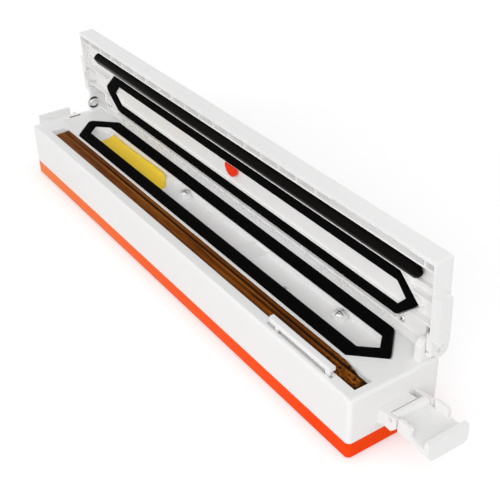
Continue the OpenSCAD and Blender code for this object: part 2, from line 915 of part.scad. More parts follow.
module cord_gland() {
    gasket_color()
        translate([gland_x, 0, gland_z])
            difference() {
                union() {
                    translate([0, y_back - wall - 2, 0])
                        rod_y(gland_r + 1.5, wall + 2.8);
                    translate([0, y_back - wall - 2, 0])
                        rod_y(gland_r + 2.8, 1.9);
                }
                translate([0, y_back - wall - 3, 0])
                    rod_y(gland_r, wall + 5);
            }
}

// ---- Hinge and latch hardware ----

module hinge_pins() {
    metal_color()
        for (m = [0, 1])
            mirror([m, 0, 0])
                translate([post_x0 + 0.9, axis_y, axis_z])
                    rod_x(pin_r, lid_x - post_x0 - 2);
}

module hinge_screw() {
    metal_color()
        translate([-post_x0 + 0.02, hinge_screw_y, hinge_screw_z])
            difference() {
                union() {
                    rod_x(hinge_screw_r, hinge_screw_t);
                    translate([-2.9, 0, 0])
                        rod_x(1.15, 3);
                }
                translate([hinge_screw_t, 0, 0])
                    rotate([0, 90, 0])
                        cross_recess(4, 0.9, 0.7);
            }
}

module latch_pins() {
    metal_color()
        for (m = [0, 1])
            mirror([m, 0, 0])
                translate([pivot_x, latch_y0 - 0.2, pivot_z])
                    rod_y(latch_pin_r, latch_w + 0.4);
}

// Latch on the right end, about its pivot, folded down and outwards
module latch() {
    plate_x0 = ear_nose_r + 1;
    plate_t = 2.6;
    plate_z = -3.6;
    side_x1 = 13.4;
    side_h = 4.3;
    side_t = 1.6;
    lip_in = hook_reach;
    lip_t = 2.6;
    lip_top = 3.6;
    lip_low = 6.4;
    barrel_in = ear_t + 0.3;
    barrel_l = latch_w - 2 * barrel_in;
    housing_color()
        translate([pivot_x, latch_y0, pivot_z])
            difference() {
                union() {
                    translate([0, barrel_in, 0])
                        rod_y(barrel_r, barrel_l);
                    translate([0, barrel_in, -2.6])
                        cube([plate_x0 + 1, barrel_l, 2.2]);
                    translate([plate_x0, 0, plate_z])
                        cube([lip_in - plate_x0 + 0.5, latch_w, plate_t]);
                    // Side walls, high beside the pivot and low near the lip
                    for (y = [0, latch_w - side_t])
                        translate([0, y + side_t, 0])
                            rotate([90, 0, 0])
                                linear_extrude(side_t)
                                    polygon([[plate_x0 + 0.2, plate_z + 0.5],
                                        [plate_x0 + 0.2, side_h - 0.6],
                                        [plate_x0 + 0.8, side_h], [side_x1 - 1, side_h],
                                        [side_x1, side_h - 1], [side_x1, -0.2],
                                        [side_x1 + 1.2, -0.9], [lip_in + 0.5, -0.9],
                                        [lip_in + 0.5, plate_z + 0.5]]);
                    // End lip with round lower corners
                    intersection() {
                        translate([0, latch_w, 0])
                            rotate([90, 0, 0])
                                linear_extrude(latch_w)
                                    polygon([[lip_in, lip_top], [lip_in + lip_t, lip_top],
                                        [lip_in + lip_t + 0.6, -lip_low],
                                        [lip_in + 1.2, -lip_low], [lip_in, plate_z]]);
                        translate([lip_in - 1, latch_w / 2, -lip_low])
                            rotate([90, 0, 90])
                                linear_extrude(lip_t + 4)
                                    union() {
                                        translate([-latch_w / 2, 3.4])
                                            square([latch_w, lip_low + lip_top]);
                                        translate([-latch_w / 2 + 3.4, 0])
                                            square([latch_w - 6.8, lip_low]);
                                        for (s = [-1, 1])
                                            translate([s * (latch_w / 2 - 3.4), 3.4])
                                                circle(3.4);
                                    }
                    }
                }
                translate([0, -1, 0])
                    rod_y(latch_pin_r + run_gap, latch_w + 2);
            }
}

module right_latch() latch();
module left_latch() mirror([1, 0, 0]) latch();

// ---- Lid ----

// Cut that lets a hinge post pass through the lid, on the right
module post_notch(inner, reach) {
    translate([inner, axis_y - reach, -1])
        cube([ear_x0 - inner, reach + 8, lid_h + 8]);
}

// End pad that the latch holds, and the hinge ear behind it, on the right
module end_pad() {
    translate([lid_x - lid_end_t, pad_y0, 0])
        cube([pad_out + lid_end_t, pad_y1 - pad_y0, pad_h]);
    translate([ear_x0, axis_y, rim_drop])
        rod_x(ear_r, lid_x - ear_x0);
    translate([ear_x0, axis_y - slot_reach + fit_gap, 0])
        cube([lid_x - ear_x0, slot_reach - fit_gap, pad_h]);
}

module lid_shell() {
    housing_color()
        lid_pose()
            difference() {
                union() {
                    difference() {
                        translate([0, (lid_y0 + lid_y1) / 2, 0])
                            soft_block(2 * lid_x, lid_y1 - lid_y0, lid_h, 1.6, 1.6, 1.6, 1.6);
                        translate([-lid_x + lid_end_t, lid_y0 + lid_front_t, -1])
                            cube([2 * (lid_x - lid_end_t), lid_y1 - lid_y0 - lid_front_t - 2,
                                lid_h - lid_t + 1]);
                    }
                    for (m = [0, 1])
                        mirror([m, 0, 0])
                            end_pad();
                    // Posts for the liner's screws
                    for (x = lid_screw_x)
                        translate([x, lid_screw_y, liner_z + liner_t + 0.05])
                            cylinder(r = 2.4, h = lid_h - liner_z - liner_t - lid_t + 0.5);
                }
                post_notch(post_x0 - free_gap, slot_reach);
                mirror([1, 0, 0])
                    post_notch(post_x0 - free_gap - hinge_screw_t, left_reach);
                translate([-post_x0 - 1, axis_y - slot_reach, -1])
                    cube([left_notch + 1, slot_reach + 1, lid_h - lid_t + 1]);
                for (m = [0, 1])
                    mirror([m, 0, 0])
                        translate([ear_x0 - 1, axis_y, rim_drop]) {
                            rod_x(pin_r + run_gap, lid_x - ear_x0 + 2);
                            translate([lid_x - ear_x0, 0, 0])
                                rod_x(pin_r + 0.4, 2);
                        }
                // Back rim set in, so that it passes the deck and its gasket
                translate([-post_x0, axis_y - 2, -1])
                    cube([2 * post_x0, 10, back_trim + 1]);
                // Relief for the start lever in the front wall
                translate([lever_x0 - 3, lever_y - lever_w / 2 - 0.4, -1])
                    cube([lever_l + 6, lever_w + 4, 5.2]);
                translate([valve_x, stem_y, 0])
                    cylinder(r = stem_r + slide_gap, h = lid_h + 2);
                for (x = key_x)
                    translate([x, key_y, 0])
                        cylinder(r = key_r + slide_gap, h = lid_h + 2);
                for (x = [key_x[0] - 10, key_x[1] + 10])
                    translate([x, key_y, 0])
                        cylinder(r = 1.3, h = lid_h + 2);
                for (x = lid_screw_x)
                    translate([x, lid_screw_y, liner_z])
                        cylinder(r = 1.05, h = 4.6);
            }
}

// Rib across or along the liner, from its plate down to z0 above the rim
module rib(x0, x1, y0, y1, z0) {
    translate([x0, y0, z0])
        cube([x1 - x0, y1 - y0, liner_z - z0 + 0.5]);
}

module liner_ribs() {
    rib_x0 = -liner_x;
    rib_x1 = liner_x;
    // Ladder of cross ribs behind the front wall
    count = floor(liner_x / rib_pitch);
    for (k = [-count : count])
        if (abs(k * rib_pitch + rib_shift) < liner_x - 3)
            rib(k * rib_pitch + rib_shift - rib_t / 2, k * rib_pitch + rib_shift + rib_t / 2,
                liner_y0, strip_rib_y[0], rib_in);
    // Lengthwise ribs on both sides of the press strip
    rib(rib_x0, rib_x1, strip_rib_y[0] - rib_t, strip_rib_y[0], rib_in);
    rib(rib_x0, rib_x1, strip_rib_y[1], strip_rib_y[1] + rib_t, seat_z);
    // Ribs of the end bays
    for (y = [ring_y0 + 5.6, ring_y1 - 12.1]) {
        rib(rib_x0, seal_out_hex[0] + 4, y, y + rib_t, rib_in);
        rib(seal_out_hex[1] - 4, rib_x1, y, y + rib_t, rib_in);
    }
    // Short ribs between the gasket bed and the back wall
    back_in = seal_out_hex[3] + 1;
    rib(seal_out_hex[0] + 16, seal_out_hex[1] - 14, back_in, back_in + rib_t, rib_in);
    for (k = [-8 : 9])
        rib(k * rib_pitch - rib_t / 2, k * rib_pitch + rib_t / 2, back_in, liner_y1, rib_in);
}

module lid_liner() {
    housing_color()
        lid_pose()
            difference() {
                union() {
                    translate([-liner_x, liner_y0, liner_z])
                        cube([2 * liner_x, liner_y1 - liner_y0, liner_t]);
                    liner_ribs();
                    // Bed of the lid gasket
                    translate([0, 0, seat_z])
                        linear_extrude(liner_z + 0.6 - seat_z)
                            polygon(hex_points(seal_out_hex, 0.8));
                    // Small post beside the valve
                    translate([valve_x + 6.8, stem_y + 1.6, field_z - 1.8])
                        cylinder(r = 1.2, h = 3);
                    // Boss behind the switch tab, and the tab
                    translate([tab_x - 1.4, tab_y0 - 1, 1.2])
                        cube([2.8, 8, 4]);
                    translate([tab_x - tab_t / 2, tab_y0, -tab_down - lid_gap])
                        cube([tab_t, tab_y1 - tab_y0, tab_down + lid_gap + 4]);
                }
                // Seat of the gasket, and the shallow field inside it
                difference() {
                    translate([0, 0, -1])
                        linear_extrude(seal_in + seal_t + 1)
                            polygon(hex_points(seal_out_hex, fit_gap));
                    translate([0, 0, -2])
                        linear_extrude(seal_in + seal_t + 4)
                            polygon(hex_points(seal_in_hex, -fit_gap));
                }
                translate([0, 0, -1])
                    linear_extrude(field_z + 1)
                        polygon(hex_points(seal_in_hex, -0.9));
                // Seat of the press strip
                translate([strip_x0 - 1, strip_rib_y[0] + 0.25, -1])
                    cube([strip_x1 - strip_x0 + 2, strip_rib_y[1] - strip_rib_y[0] - 0.5,
                        strip_foot + 1]);
                // Relief over the start lever, in the bay before the first lengthwise rib
                translate([lever_x0 - 3, liner_y0 - 1, -1])
                    cube([lever_l + 6, strip_rib_y[0] - rib_t - liner_y0 + 1, 5.2]);
                translate([valve_x, stem_y, -1])
                    cylinder(r = stem_r + run_gap, h = 10);
                translate([-post_x0 - 6, axis_y - slot_reach, -1])
                    cube([6 + left_notch, 30, 12]);
                translate([-lid_x, axis_y - left_reach, -1])
                    cube([lid_x - post_x0 + free_gap + hinge_screw_t, 30, 12]);
                translate([post_x0 - free_gap, axis_y - slot_reach, -1])
                    cube([20, 30, 12]);
                for (x = lid_screw_x)
                    translate([x, lid_screw_y, -1]) {
                        cylinder(r = 1.1, h = 10);
                        cylinder(r = 2.3, h = liner_z + 1);
                    }
                translate([-lid_x, axis_y - 2, -1])
                    cube([2 * lid_x, 10, back_trim + 1]);
            }
}

module upper_gasket() {
    gasket_color()
        lid_pose()
            translate([0, 0, seal_in])
                linear_extrude(seal_t)
                    difference() {
                        offset(r = 1.5, $fn = 32)
                            offset(delta = -1.5)
                                polygon(hex_points(seal_out_hex));
                        offset(r = 0.4, $fn = 32)
                            offset(delta = -0.4)
                                polygon(hex_points(seal_in_hex));
                    }
}

module press_strip() {
    strip_r = strip_w / 2;
    color([0.06, 0.055, 0.05])
        lid_pose()
            translate([0, strip_y, 0])
                intersection() {
                    translate([0, 0, -strip_out])
                        linear_extrude(strip_out + strip_foot)
                            union() {
                                translate([strip_x0 + strip_r, -strip_r])
                                    square([strip_x1 - strip_x0 - strip_w, strip_w]);
                                for (x = [strip_x0 + strip_r, strip_x1 - strip_r])
                                    translate([x, 0])
                                        circle(strip_r);
                            }
                    translate([strip_x0, strip_r, strip_foot])
                        rotate([180, 0, 0])
                            rotate([90, 0, 90])
                                linear_extrude(strip_x1 - strip_x0)
                                    top_rounded(strip_w, strip_out + strip_foot, strip_corner,
                                        strip_corner);
                }
}

module lid_screws() {
    metal_color()
        lid_pose()
            for (x = lid_screw_x)
                translate([x, lid_screw_y, liner_z - 1.2])
                    difference() {
                        union() {
                            cylinder(r = 2.1, h = 1.15);
                            cylinder(r = 1, h = 5);
                        }
                        rotate([180, 0, 0])
                            cross_recess(2.6, 0.6, 0.6);
                    }
}

module valve_seal() {
    gasket_color()
        lid_pose()
            translate([valve_x, stem_y, field_z - 0.62])
                difference() {
                    cylinder(r = stem_r + 0.8, h = 0.6);
                    translate([0, 0, -1])
                        cylinder(r = stem_r + 0.3, h = 4);
                }
}

module release_button() {
    color([0.9, 0.12, 0.06])
        lid_pose()
            union() {
                intersection() {
                    translate([valve_x, valve_y, field_z - 2.2])
                        cylinder(r = valve_r, h = 1.5);
                    translate([valve_x - 10, valve_flat_y, 0])
                        cube([20, 20, lid_h]);
                }
                translate([valve_x, stem_y, field_z - 1.5])
                    cylinder(r = stem_r, h = lid_h + valve_travel + 2.5 - field_z);
                translate([valve_x, stem_y, lid_h + valve_travel + 0.3])
                    cylinder(r = cap_r, h = 1.4);
            }
}

module release_spring() {
    metal_color()
        lid_pose()
            translate([valve_x, stem_y, liner_z + liner_t + 0.05])
                difference() {
                    cylinder(r = stem_r + 1.3, h = lid_h - lid_t - liner_z - liner_t - 0.2);
                    translate([0, 0, -1])
                        cylinder(r = stem_r + 0.5, h = 9);
                }
}

module button_board() {
    color([0.1, 0.35, 0.16])
        lid_pose()
            translate([key_x[0] - 14, key_y - 7, liner_z + liner_t + 0.02])
                cube([key_x[1] - key_x[0] + 28, 14, 0.8]);
}

module indicator_lights() {
    color([0.3, 0.8, 0.3])
        lid_pose()
            for (x = [key_x[0] - 10, key_x[1] + 10])
                translate([x, key_y, liner_z + liner_t + 0.84])
                    cylinder(r = 1.2, h = lid_h - liner_z - liner_t - 0.8);
}

module key(x) {
    color([0.8, 0.82, 0.85])
        lid_pose()
            translate([x, key_y, lid_h - lid_t - 0.7]) {
                cylinder(r = key_r + 1, h = 0.6);
                cylinder(r = key_r, h = lid_t + 0.7 + key_out);
            }
}

module vacuum_button() key(key_x[0]);
module seal_button() key(key_x[1]);

base_tray();
rubber_feet();
base_screws();
upper_housing();
heater_bed();
heating_element();
heater_tape();
heater_terminals();
heater_leads();
lower_gasket();
channel_screws();
channel_label();
suction_port();
vacuum_tube();
pump_motor();
pump_head();
pump_rod();
motor_shaft();
motor_eccentric();
circuit_board();
board_components();
transformer_core();
transformer_coil();
lid_switch();
switch_plunger();
start_switch();
start_lever();
lever_pin();
cord_gland();
hinge_pins();
hinge_screw();
latch_pins();
lid_shell();
lid_liner();
upper_gasket();
press_strip();
lid_screws();
valve_seal();
release_button();
release_spring();
button_board();
indicator_lights();
vacuum_button();
seal_button();
left_latch();
right_latch();
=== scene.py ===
"""Vacuum sealer: soft parts, finishes, light and camera around the fixed construction model.

The construction model gives every body and its place. This script dresses its nodes, replaces
the soft and fine pieces with modelled ones, and sets the camera and the studio.
"""
import json
import logging
import math
from dataclasses import dataclass
from enum import Enum
from typing import Callable, Iterable, Protocol, Sequence

import bmesh
import bpy
from mathutils import Matrix, Vector, noise


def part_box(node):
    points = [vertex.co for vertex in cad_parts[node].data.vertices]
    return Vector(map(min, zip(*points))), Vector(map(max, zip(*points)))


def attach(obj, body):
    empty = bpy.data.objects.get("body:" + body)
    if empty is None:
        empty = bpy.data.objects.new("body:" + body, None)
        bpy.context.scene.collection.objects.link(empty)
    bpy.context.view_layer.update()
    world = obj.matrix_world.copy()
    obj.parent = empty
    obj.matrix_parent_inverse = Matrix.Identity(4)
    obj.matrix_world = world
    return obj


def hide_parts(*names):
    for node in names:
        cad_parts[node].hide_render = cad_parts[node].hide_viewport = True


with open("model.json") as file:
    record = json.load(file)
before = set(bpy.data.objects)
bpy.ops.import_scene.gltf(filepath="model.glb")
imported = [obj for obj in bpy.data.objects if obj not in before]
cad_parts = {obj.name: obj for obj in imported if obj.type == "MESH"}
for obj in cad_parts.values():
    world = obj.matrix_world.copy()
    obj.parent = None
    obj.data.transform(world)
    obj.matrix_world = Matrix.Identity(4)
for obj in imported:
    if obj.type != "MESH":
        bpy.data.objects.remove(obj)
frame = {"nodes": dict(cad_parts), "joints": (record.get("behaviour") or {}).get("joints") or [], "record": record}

logging.basicConfig(level=logging.INFO, format="%(message)s")
LOG = logging.getLogger("vacuum_sealer")

MM = 0.001
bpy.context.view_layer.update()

Point = tuple[float, float, float]
Colour = tuple[float, float, float]
Place = Callable[[float, float, float], Point]
Face = Sequence[int]


# ---------------------------------------------------------------- shader helpers


class Nodes:
    """A small writer for one node tree, so that materials read as lists of steps."""

    def __init__(self, tree: bpy.types.NodeTree) -> None:
        """Keeps the tree that nodes are added to.

        Args:
            tree: the material's or group's node tree.
        """
        self.tree = tree

    def add(self, kind: str, **values: object) -> bpy.types.Node:
        """Adds a node and sets its attributes.

        Args:
            kind: the node's type name.
            **values: attributes of the node.

        Returns:
            The new node.
        """
        node = self.tree.nodes.new(kind)
        for name, value in values.items():
            setattr(node, name, value)
        return node

    def link(self, source: bpy.types.NodeSocket, target: bpy.types.NodeSocket) -> None:
        """Joins an output to an input."""
        self.tree.links.new(source, target)

    def noise(self, vector: bpy.types.NodeSocket, scale: float, detail: float = 3.0,
              rough: float = 0.5) -> bpy.types.NodeSocket:
        """Adds a noise texture.

        Args:
            vector: where the noise is read.
            scale: cells per metre.
            detail: number of octaves.
            rough: strength of the finer octaves.

        Returns:
            The noise value's socket.
        """
        node = self.add("ShaderNodeTexNoise")
        node.inputs["Scale"].default_value = scale
        node.inputs["Detail"].default_value = detail
        node.inputs["Roughness"].default_value = rough
        self.link(vector, node.inputs["Vector"])
        return node.outputs["Fac"]

    def stretch(self, vector: bpy.types.NodeSocket, scale: Point) -> bpy.types.NodeSocket:
        """Scales a vector along each axis.

        Args:
            vector: the input's socket.
            scale: factor for each axis.

        Returns:
            The scaled vector's socket.
        """
        node = self.add("ShaderNodeMapping")
        node.inputs["Scale"].default_value = scale
        self.link(vector, node.inputs["Vector"])
        return node.outputs["Vector"]

    def math(self, kind: str, a: object, b: object = 0.0, clamp: bool = False
             ) -> bpy.types.NodeSocket:
        """Adds a math node whose inputs are sockets or numbers.

        Args:
            kind: the operation's name.
            a: first input.
            b: second input.
            clamp: keeps the result between 0 and 1.

        Returns:
            The result's socket.
        """
        node = self.add("ShaderNodeMath", operation=kind, use_clamp=clamp)
        for value, socket in ((a, node.inputs[0]), (b, node.inputs[1])):
            if isinstance(value, (int, float)):
                socket.default_value = value
            else:
                self.link(value, socket)
        return node.outputs[0]

    def span(self, value: bpy.types.NodeSocket, low: float, high: float, out_low: float = 0.0,
             out_high: float = 1.0) -> bpy.types.NodeSocket:
        """Maps a value from one span to another, held at both ends.

        Args:
            value: the input's socket.
            low: input at the start of the span.
            high: input at the end of the span.
            out_low: result at the start.
            out_high: result at the end.

        Returns:
            The result's socket.
        """
        node = self.add("ShaderNodeMapRange")
        for name, number in (("From Min", low), ("From Max", high), ("To Min", out_low),
                             ("To Max", out_high)):
            node.inputs[name].default_value = number
        self.link(value, node.inputs["Value"])
        return node.outputs["Result"]

    def mix(self, factor: bpy.types.NodeSocket, a: object, b: object) -> bpy.types.NodeSocket:
        """Mixes two colours.

        Args:
            factor: share of the second colour.
            a: first colour or its socket.
            b: second colour or its socket.

        Returns:
            The mixed colour's socket.
        """
        node = self.add("ShaderNodeMix", data_type="RGBA")
        self.link(factor, node.inputs["Factor"])
        for value, socket in ((a, node.inputs["A"]), (b, node.inputs["B"])):
            pick = [s for s in node.inputs if s.name == socket.name and s.type == "RGBA"][0]
            if isinstance(value, tuple):
                pick.default_value = (*value, 1.0)
            else:
                self.link(value, pick)
        return [s for s in node.outputs if s.type == "RGBA"][0]

    def seen_rays(self) -> bpy.types.NodeSocket:
        """Tells the rays that show a background: seen, mirrored or through glass.

        Returns:
            A socket that is 1 on those rays and 0 on the rest.
        """
        path = self.add("ShaderNodeLightPath")
        seen = self.math("ADD", path.outputs["Is Camera Ray"], path.outputs["Is Glossy Ray"])
        return self.math("ADD", seen, path.outputs["Is Transmission Ray"], True)

    def group(self, tree: bpy.types.NodeTree, **values: float) -> bpy.types.Node:
        """Places a node group.

        Args:
            tree: the group.
            **values: numbers for its inputs, named with _ for a space.

        Returns:
            The group's node.
        """
        node = self.add("ShaderNodeGroup", node_tree=tree)
        for name, value in values.items():
            node.inputs[name.replace("_", " ").title()].default_value = value
        return node


class SharedEffects:
    """Node groups that several finishes use, each built once."""

    PATCHES = (0.35, 0.65)      # noise that breaks the dust into patches
    HOLLOWS = (0.49, 0.42)      # pointiness of corners that hold dust

    def __init__(self) -> None:
        """Builds every group."""
        self.grain = self._grain()
        self.dust = self._dust()

    @staticmethod
    def _new_group(name: str, inputs: Iterable[tuple[str, float]],
                   outputs: Iterable[tuple[str, str]]) -> tuple[bpy.types.NodeTree, Nodes,
                                                                 bpy.types.Node, bpy.types.Node]:
        """Makes an empty group with its sockets.

        Args:
            name: the group's name.
            inputs: names and defaults of its number inputs.
            outputs: names and socket types of its outputs.

        Returns:
            The tree, its writer, and its input and output nodes.
        """
        tree = bpy.data.node_groups.new(name, "ShaderNodeTree")
        for label, default in inputs:
            socket = tree.interface.new_socket(name=label, in_out="INPUT",
                                               socket_type="NodeSocketFloat")
            socket.default_value = default
        for label, kind in outputs:
            tree.interface.new_socket(name=label, in_out="OUTPUT", socket_type=kind)
        nodes = Nodes(tree)
        return tree, nodes, nodes.add("NodeGroupInput"), nodes.add("NodeGroupOutput")

    def _grain(self) -> bpy.types.NodeTree:
        """Writes a moulded surface: a fine tooth and a slow drift of tone.

        Returns:
            The group's tree.
        """
        tree, n, enter, leave = self._new_group(
            "moulded_grain", (("Tooth Scale", 1500.0), ("Drift Scale", 12.0)),
            (("Tooth", "NodeSocketFloat"), ("Drift", "NodeSocketFloat")))
        place = n.add("ShaderNodeTexCoord").outputs["Object"]
        for label, scale, detail in (("Tooth", "Tooth Scale", 2.0), ("Drift", "Drift Scale", 4.0)):
            texture = n.add("ShaderNodeTexNoise")
            texture.inputs["Detail"].default_value = detail
            n.link(place, texture.inputs["Vector"])
            n.link(enter.outputs[scale], texture.inputs["Scale"])
            n.link(texture.outputs["Fac"], leave.inputs[label])
        return tree

    def _dust(self) -> bpy.types.NodeTree:
        """Writes dust in corners, from the surface's pointiness and slow noise.

        Returns:
            The group's tree.
        """
        tree, n, enter, leave = self._new_group(
            "corner_dust", (("Patch Scale", 60.0),), (("Dust", "NodeSocketFloat"),))
        place = n.add("ShaderNodeTexCoord").outputs["Object"]
        point = n.add("ShaderNodeNewGeometry").outputs["Pointiness"]
        texture = n.add("ShaderNodeTexNoise")
        texture.inputs["Detail"].default_value = 5.0
        n.link(place, texture.inputs["Vector"])
        n.link(enter.outputs["Patch Scale"], texture.inputs["Scale"])
        broken = n.span(texture.outputs["Fac"], *self.PATCHES)
        hollow = n.span(point, *self.HOLLOWS)
        n.link(n.math("MULTIPLY", hollow, broken), leave.inputs["Dust"])
        return tree


EFFECTS = SharedEffects()


def new_material(name: str) -> tuple[bpy.types.Material, Nodes, bpy.types.Node]:
    """Makes an empty material with one Principled shader.

    Args:
        name: the material's name.

    Returns:
        The material, the writer of its nodes and its Principled node.
    """
    material = bpy.data.materials.new(name)
    material.use_nodes = True
    material.node_tree.nodes.clear()
    nodes = Nodes(material.node_tree)
    out = nodes.add("ShaderNodeOutputMaterial")
    shader = nodes.add("ShaderNodeBsdfPrincipled")
    nodes.link(shader.outputs["BSDF"], out.inputs["Surface"])
    return material, nodes, shader


def bump_into(nodes: Nodes, shader: bpy.types.Node, height: bpy.types.NodeSocket, depth: float,
              edge: float = 0.0) -> None:
    """Feeds a bump, and a soft edge where asked, into a shader's normal.

    Args:
        nodes: the material's writer.
        shader: the Principled node.
        height: the bump's height, from 0 to 1.
        depth: the depth in metres of a height of 1.
        edge: radius in metres that edges are shaded with; 0 leaves them sharp.
    """
    bump = nodes.add("ShaderNodeBump")
    bump.inputs["Distance"].default_value = depth
    bump.inputs["Strength"].default_value = 1.0
    nodes.link(height, bump.inputs["Height"])
    if edge > 0.0:
        bevel = nodes.add("ShaderNodeBevel", samples=8)
        bevel.inputs["Radius"].default_value = edge
        nodes.link(bevel.outputs["Normal"], bump.inputs["Normal"])
    nodes.link(bump.outputs["Normal"], shader.inputs["Normal"])


def toned(colour: Colour, share: float) -> Colour:
    """The colour times a share: darker below 1 and lighter above."""
    return tuple(c * share for c in colour)


# ---------------------------------------------------------------- finishes


class Recipe(Protocol):
    """What every finish offers: a name, and a material made on request."""

    name: str

    def make(self) -> bpy.types.Material:
        """Builds the material and returns it."""


@dataclass(frozen=True)
class MouldedPlastic:
    """Injection-moulded plastic with a fine tooth and softly shaded edges.

    Where the painted light tint is set, the colour grades to it from the right end to the left: painted light,
    lighter towards the left end.
    """

    name: str
    colour: Colour
    shade: Colour
    roughness: float = 0.42
    specular: float = 0.3
    edge: float = 0.15 * MM
    tooth: float = 0.006 * MM
    tooth_scale: float = 1800.0
    drift_scale: float = 9.0
    dust: float = 0.06
    dust_scale: float = 90.0
    painted_light_tint: Colour | None = None
    painted_light_from: float = 0.165        # in metres along the machine
    painted_light_to: float = -0.175
    painted_light_power: float = 1.6

    def make(self) -> bpy.types.Material:
        """Builds the material and returns it."""
        material, n, shader = new_material(self.name)
        grain = n.group(EFFECTS.grain, tooth_scale=self.tooth_scale,
                        drift_scale=self.drift_scale)
        dust_and_sheen = n.group(EFFECTS.dust, patch_scale=self.dust_scale)
        tone = n.span(grain.outputs["Drift"], 0.35, 0.7)
        base = n.mix(tone, self.colour, self.shade)
        # Painted light: the colour grades lighter towards the left end, as if that end were lit more brightly.
        if self.painted_light_tint:
            split = n.add("ShaderNodeSeparateXYZ")
            n.link(n.add("ShaderNodeTexCoord").outputs["Object"], split.inputs["Vector"])
            along = n.span(split.outputs["X"], self.painted_light_from, self.painted_light_to)
            share = n.math("POWER", along, self.painted_light_power)
            base = n.mix(share, base, self.painted_light_tint)
        dusty = n.mix(n.math("MULTIPLY", dust_and_sheen.outputs["Dust"], self.dust), base,
                      toned(self.shade, 0.8))
        n.link(dusty, shader.inputs["Base Color"])
        rough = n.span(grain.outputs["Drift"], 0.3, 0.75, self.roughness - 0.04,
                       self.roughness + 0.05)
        n.link(rough, shader.inputs["Roughness"])
        shader.inputs["Specular IOR Level"].default_value = self.specular
        bump_into(n, shader, grain.outputs["Tooth"], self.tooth, self.edge)
        return material


@dataclass(frozen=True)
class SealFoam:
    """Closed-cell foam rubber: near black, dull, with fine open pores."""

    name: str
    colour: Colour = (0.0016, 0.0014, 0.0014)
    pore_scale: float = 1600.0
    pore_depth: float = 0.05 * MM
    specular: float = 0.03

    def make(self) -> bpy.types.Material:
        """Builds the material and returns it."""
        material, n, shader = new_material(self.name)
        place = n.add("ShaderNodeTexCoord").outputs["Object"]
        cells = n.add("ShaderNodeTexVoronoi", feature="F1")
        cells.inputs["Scale"].default_value = self.pore_scale
        n.link(place, cells.inputs["Vector"])
        slow = n.noise(place, 60.0, 3.0)
        speck = n.span(cells.outputs["Distance"], 0.0, 0.6)
        base = n.mix(n.math("MULTIPLY", speck, slow), toned(self.colour, 0.5),
                     toned(self.colour, 1.7))
        n.link(base, shader.inputs["Base Color"])
        n.link(n.span(slow, 0.3, 0.7, 0.82, 0.95), shader.inputs["Roughness"])
        shader.inputs["Specular IOR Level"].default_value = self.specular
        bump_into(n, shader, speck, self.pore_depth)
        return material


@dataclass(frozen=True)
class SolidRubber:
    """Solid rubber with faint lengthwise draw marks, and a painted sheen: greyed where a point attribute says so.
    """

    name: str
    colour: Colour = (0.0026, 0.002, 0.0018)
    painted_sheen: Colour = (0.3, 0.265, 0.245)
    roughness: float = 0.58
    specular: float = 0.03
    draw: Point = (4.0, 900.0, 900.0)
    draw_depth: float = 0.012 * MM

    def make(self) -> bpy.types.Material:
        """Builds the material and returns it."""
        material, n, shader = new_material(self.name)
        place = n.add("ShaderNodeTexCoord").outputs["Object"]
        marks = n.noise(n.stretch(place, self.draw), 1.0, 3.0, 0.6)
        slow = n.noise(place, 35.0, 4.0)
        base = n.mix(slow, toned(self.colour, 0.7), toned(self.colour, 1.5))
        # Painted sheen: a lighter grey band from a point attribute, standing in for a highlight on the strip's
        # lower side.
        rub_and_sheen = n.add("ShaderNodeAttribute", attribute_name="painted_sheen").outputs["Fac"]
        rub_and_sheen = n.math("MULTIPLY", rub_and_sheen, n.span(marks, 0.25, 0.75, 0.55, 1.0))
        n.link(n.mix(rub_and_sheen, base, self.painted_sheen), shader.inputs["Base Color"])
        n.link(n.span(marks, 0.3, 0.7, self.roughness - 0.06, self.roughness + 0.08),
               shader.inputs["Roughness"])
        shader.inputs["Specular IOR Level"].default_value = self.specular
        bump_into(n, shader, marks, self.draw_depth)
        return material


@dataclass(frozen=True)
class BrightMetal:
    """Plated or plain steel with fine turning marks, and painted shade: dark where a point attribute says so."""

    name: str
    colour: Colour = (0.9, 0.9, 0.9)
    roughness: float = 0.3
    painted_shade: Colour = (0.018, 0.01, 0.007)
    metallic: float = 0.72
    turning: Point = (300.0, 2200.0, 2200.0)
    tooth: float = 0.004 * MM
    edge: float = 0.08 * MM

    def make(self) -> bpy.types.Material:
        """Builds the material and returns it."""
        material, n, shader = new_material(self.name)
        place = n.add("ShaderNodeTexCoord").outputs["Object"]
        fine = n.noise(n.stretch(place, self.turning), 1.0, 2.0)
        slow = n.noise(place, 220.0, 3.0)
        base = n.mix(slow, toned(self.colour, 0.9), self.colour)
        # Painted shade: darkens the screws' cross recesses and the stud's groove at its top and bottom, and takes
        # the metal off there.
        painted_dark = n.add("ShaderNodeAttribute", attribute_name="painted_shade").outputs["Fac"]
        n.link(n.mix(painted_dark, base, self.painted_shade), shader.inputs["Base Color"])
        plated = n.math("MULTIPLY", n.math("SUBTRACT", 1.0, painted_dark, True), self.metallic)
        n.link(plated, shader.inputs["Metallic"])
        n.link(n.span(fine, 0.3, 0.7, self.roughness * 0.7, self.roughness * 1.5),
               shader.inputs["Roughness"])
        bump_into(n, shader, fine, self.tooth, self.edge)
        return material


